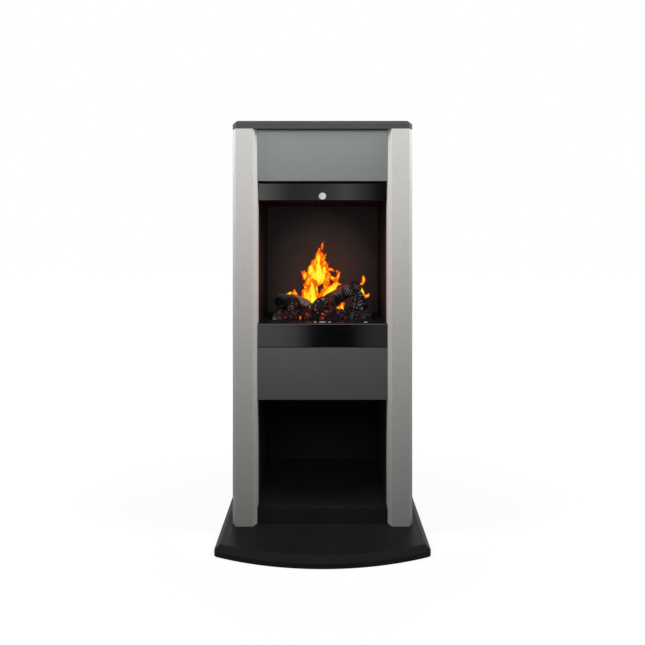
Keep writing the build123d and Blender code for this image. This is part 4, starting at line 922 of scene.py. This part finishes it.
def make_finishes():
    """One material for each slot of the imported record."""
    button = moulded("button white", (0.34, 0.34, 0.33), 0.4, 900.0, 0.04)
    lens = moulded("lens white", (0.75, 0.73, 0.68), 0.25, 900.0, 0.04)
    lens.set(Emission_Color=(1.0, 0.97, 0.9, 1.0), Emission_Strength=0.15)
    return {
        "pillar_silver": pillar_coat(),
        "panel_grey": panel_enamel(),
        "board_grey": board_lacquer("board charcoal lacquer", (0.044, 0.044, 0.043), 0.45, 0.16),
        "base_black": board_lacquer("base black lacquer", (0.0165, 0.0165, 0.0168), 0.45, 0.05),
        "side_grey": side_coat(),
        "inner_black": matt_black(),
        "black_glass": strip_glass(),
        "badge_chrome": metal("badge chrome", (0.78, 0.79, 0.81), 0.12, grain=500.0, spread=0.04),
        "badge_black": moulded("badge black", (0.008, 0.008, 0.009), 0.35, 900.0, level=0.25).material,
        "ledge_black": ledge_gloss(),
        "button_white": button.material,
        "lens_white": lens.material,
        "circuit_green": circuit(),
        "zinc_sheet": galvanised(),
        "slide_steel": metal("slide steel", (0.5, 0.51, 0.52), 0.3, (1.0, 0.05, 1.0)),
        "lamp_alloy": metal("lamp alloy", (0.62, 0.62, 0.63), 0.42, grain=700.0),
        "filter_amber": filter_sheet(),
        "sump_black": moulded("sump black", (0.03, 0.03, 0.032), 0.42).material,
        "tank_clear": tank_plastic(),
        "cap_grey": moulded("cap grey", (0.25, 0.26, 0.28), 0.45).material,
        "mist_steel": metal("mist steel", (0.55, 0.55, 0.56), 0.28, (0.1, 1.0, 1.0)),
        "pad_rubber": moulded("pad rubber", (0.02, 0.02, 0.02), 0.8, 350.0, 0.2, 0.2).material,
        "screw_steel": metal("screw steel", (0.3, 0.3, 0.31), 0.38, grain=900.0),
        "element_alloy": metal("element alloy", (0.6, 0.6, 0.6), 0.35, (1.0, 1.0, 0.1)),
        "impeller_alloy": metal("impeller alloy", (0.62, 0.63, 0.64), 0.3, (0.05, 1.0, 1.0)),
        "bush_brass": metal("bush brass", (0.72, 0.52, 0.22), 0.25, (0.1, 1.0, 1.0)),
        "motor_black": moulded("motor black", (0.03, 0.03, 0.03), 0.4, 800.0).material,
        "core_steel": laminations(),
        "inlet_black": moulded("inlet black", (0.02, 0.02, 0.02), 0.45).material,
        "rocker_black": moulded("rocker black", (0.006, 0.006, 0.007), 0.22).material,
        "fan_black": moulded("fan black", (0.025, 0.025, 0.027), 0.45).material,
    }


def dress_nodes():
    """Gives every CAD node that still shows the finish of its slot."""
    finishes = make_finishes()
    for name, node in nodes.items():
        for place in node.material_slots:
            key = place.material.name.split(".")[0]
            if key in finishes:
                place.material = finishes[key]
    nodes["firebox_back"].material_slots[0].material = firebox_back_painted_glow()


# Studio

CARD_Y = -2.4


def lamp(name, place, target, size, power):
    """A soft rectangular lamp at a place, turned to its target."""
    data = bpy.data.lights.new(name, "AREA")
    data.shape = "RECTANGLE"
    data.size, data.size_y = size
    data.energy = power
    made = bpy.data.objects.new(name, data)
    bpy.context.scene.collection.objects.link(made)
    made.location = place
    made.rotation_mode = "QUATERNION"
    made.rotation_quaternion = (Vector(target) - Vector(place)).to_track_quat("-Z", "Y")
    return made


def make_world():
    """White to the camera, in reflections and through clear pieces; dim grey for all other light."""
    world = bpy.data.worlds.new("studio air")
    bpy.context.scene.world = world
    world.use_nodes = True
    tree = world.node_tree
    background = tree.nodes["Background"]
    background.inputs["Color"].default_value = (1.0, 1.0, 1.0, 1.0)
    rays = tree.nodes.new("ShaderNodeLightPath")
    seen = rays.outputs["Is Camera Ray"]
    for kind in ("Is Glossy Ray", "Is Transmission Ray"):
        larger = tree.nodes.new("ShaderNodeMath")
        larger.operation = "MAXIMUM"
        tree.links.new(seen, larger.inputs[0])
        tree.links.new(rays.outputs[kind], larger.inputs[1])
        seen = larger.outputs["Value"]
    level = tree.nodes.new("ShaderNodeMapRange")
    level.inputs["To Min"].default_value = 0.03
    level.inputs["To Max"].default_value = 1.0
    tree.links.new(seen, level.inputs["Value"])
    tree.links.new(level.outputs["Result"], background.inputs["Strength"])


def level_corners(across, near, far, height):
    """Corners of a level sheet."""
    return [[-across, near, height], [across, near, height],
            [across, far, height], [-across, far, height]]


def make_floor():
    """Plain white floor under the pads: it takes the shadow close by and is evenly white far off."""
    reach = 12.0
    floor = sheet("studio_floor", level_corners(reach, -reach, reach, 0.0))
    white = Finish("studio floor white")
    rays = white.node("ShaderNodeLightPath")
    seen = white.sum("MAXIMUM", rays.outputs["Is Camera Ray"], rays.outputs["Is Glossy Ray"])
    seen = white.sum("MAXIMUM", seen, rays.outputs["Is Transmission Ray"])
    away = white.node("ShaderNodeVectorMath", operation="LENGTH")
    white.link(white.object, away.inputs[0])
    level = white.spread(away.outputs["Value"], 0.9, 1.0, 0.4, 1.0)
    white.set(Base_Color=(0.2, 0.2, 0.2, 1.0), Roughness=0.9, Specular_IOR_Level=0.0)
    white.set(Emission_Color=(1.0, 1.0, 1.0, 1.0))
    white.set(Emission_Strength=white.sum("MULTIPLY", seen, level))
    floor.data.materials.append(white.material)


def reflection_card(name, corners, stops, strength):
    """A card in front of the object that only reflections see, brighter or darker across."""
    card = sheet(name, corners)
    paper = Finish(name)
    reach = abs(corners[0][0])
    share = paper.spread(paper.axis("X"), 0.0, 1.0, -reach, reach)
    glow = paper.node("ShaderNodeEmission")
    greys = [(place, (level, level, level)) for place, level in stops]
    paper.link(paper.ramp(share, *greys), glow.inputs["Color"])
    glow.inputs["Strength"].default_value = strength
    paper.link(glow.outputs["Emission"], paper.output.inputs["Surface"])
    card.data.materials.append(paper.material)
    card.visible_camera = False
    card.visible_diffuse = False
    card.visible_shadow = False
    card.visible_transmission = False


def upright_corners(across, low, high):
    """Corners of an upright card in front of the object."""
    return [[-across, CARD_Y, low], [across, CARD_Y, low],
            [across, CARD_Y, high], [-across, CARD_Y, high]]


def make_cards():
    """A softbox high in front, soft lights on the left below it, and a dark middle and floor."""
    reflection_card("softbox_card", upright_corners(0.9, 1.3, 2.2), ((0.0, 1.0), (1.0, 1.0)), 4.2)
    reflection_card("upper_card", upright_corners(0.75, 0.72, 1.3),
                    ((0.2, 1.0), (0.36, 0.17), (0.52, 0.29), (0.6, 0.54), (0.68, 0.2), (0.74, 0.0)),
                    2.3)
    reflection_card("middle_card", upright_corners(0.75, 0.32, 0.72), ((0.0, 0.1), (1.0, 0.05)), 1.0)
    reflection_card("lower_card", upright_corners(0.75, 0.0, 0.32),
                    ((0.3, 0.78), (0.38, 0.6), (0.46, 0.02), (0.62, 0.01), (0.7, 0.3)), 1.6)
    reflection_card("floor_card", level_corners(0.9, CARD_Y, -0.32, 0.004),
                    ((0.0, 0.15), (0.3, 0.03), (0.7, 0.03), (1.0, 0.15)), 1.0)


def make_lamps():
    """Key lamp in front, softer ones high on each side, and one behind for the rear."""
    key = lamp("key lamp", place=(0.0, -0.93, 0.88), target=(0.0, -0.1, 0.88),
               size=(0.9, 0.4), power=4.4)
    key.visible_glossy = False
    for name, side in (("left lamp", -1), ("right lamp", 1)):
        made = lamp(name, place=(side * 1.2, -0.42, 1.45), target=(side * 0.2, -0.1, 1.62),
                    size=(0.5, 0.5), power=20.0)
        made.data.spread = math.radians(140.0)
    lamp("rear lamp", place=(0.0, 1.9, 1.7), target=(0.0, 0.1, 0.6), size=(1.6, 1.0), power=16.0)


def make_flame_lamp():
    """The light of the flame on the firebox walls and the inner edges of the pillars."""
    data = bpy.data.lights.new("flame lamp", "POINT")
    data.shadow_soft_size = 0.03
    data.energy = 0.55
    data.color = (1.0, 0.09, 0.02)
    made = bpy.data.objects.new("flame lamp", data)
    bpy.context.scene.collection.objects.link(made)
    made.location = (0.0, 0.06, hearth + 0.12)
    made.visible_camera = False
    made.visible_glossy = False


def make_camera():
    """Level camera in front of the middle, raised to the height from which the picture was taken."""
    data = bpy.data.cameras.new("camera")
    data.sensor_width = 36.0
    data.lens = 33.49
    data.shift_y = -0.1248
    camera = bpy.data.objects.new("camera", data)
    bpy.context.scene.collection.objects.link(camera)
    camera.location = (0.0, -1.55375, 0.7078)
    camera.rotation_euler = (math.radians(90.0), 0.0, 0.0)
    bpy.context.scene.camera = camera


bpy.context.scene.view_settings.view_transform = "Standard"
make_camera()
make_world()
make_floor()
make_cards()
make_lamps()
make_flame_lamp()
dress_nodes()
make_logs()
make_ember_heap()
make_coals()
make_flame()
make_gap_shade_bar()
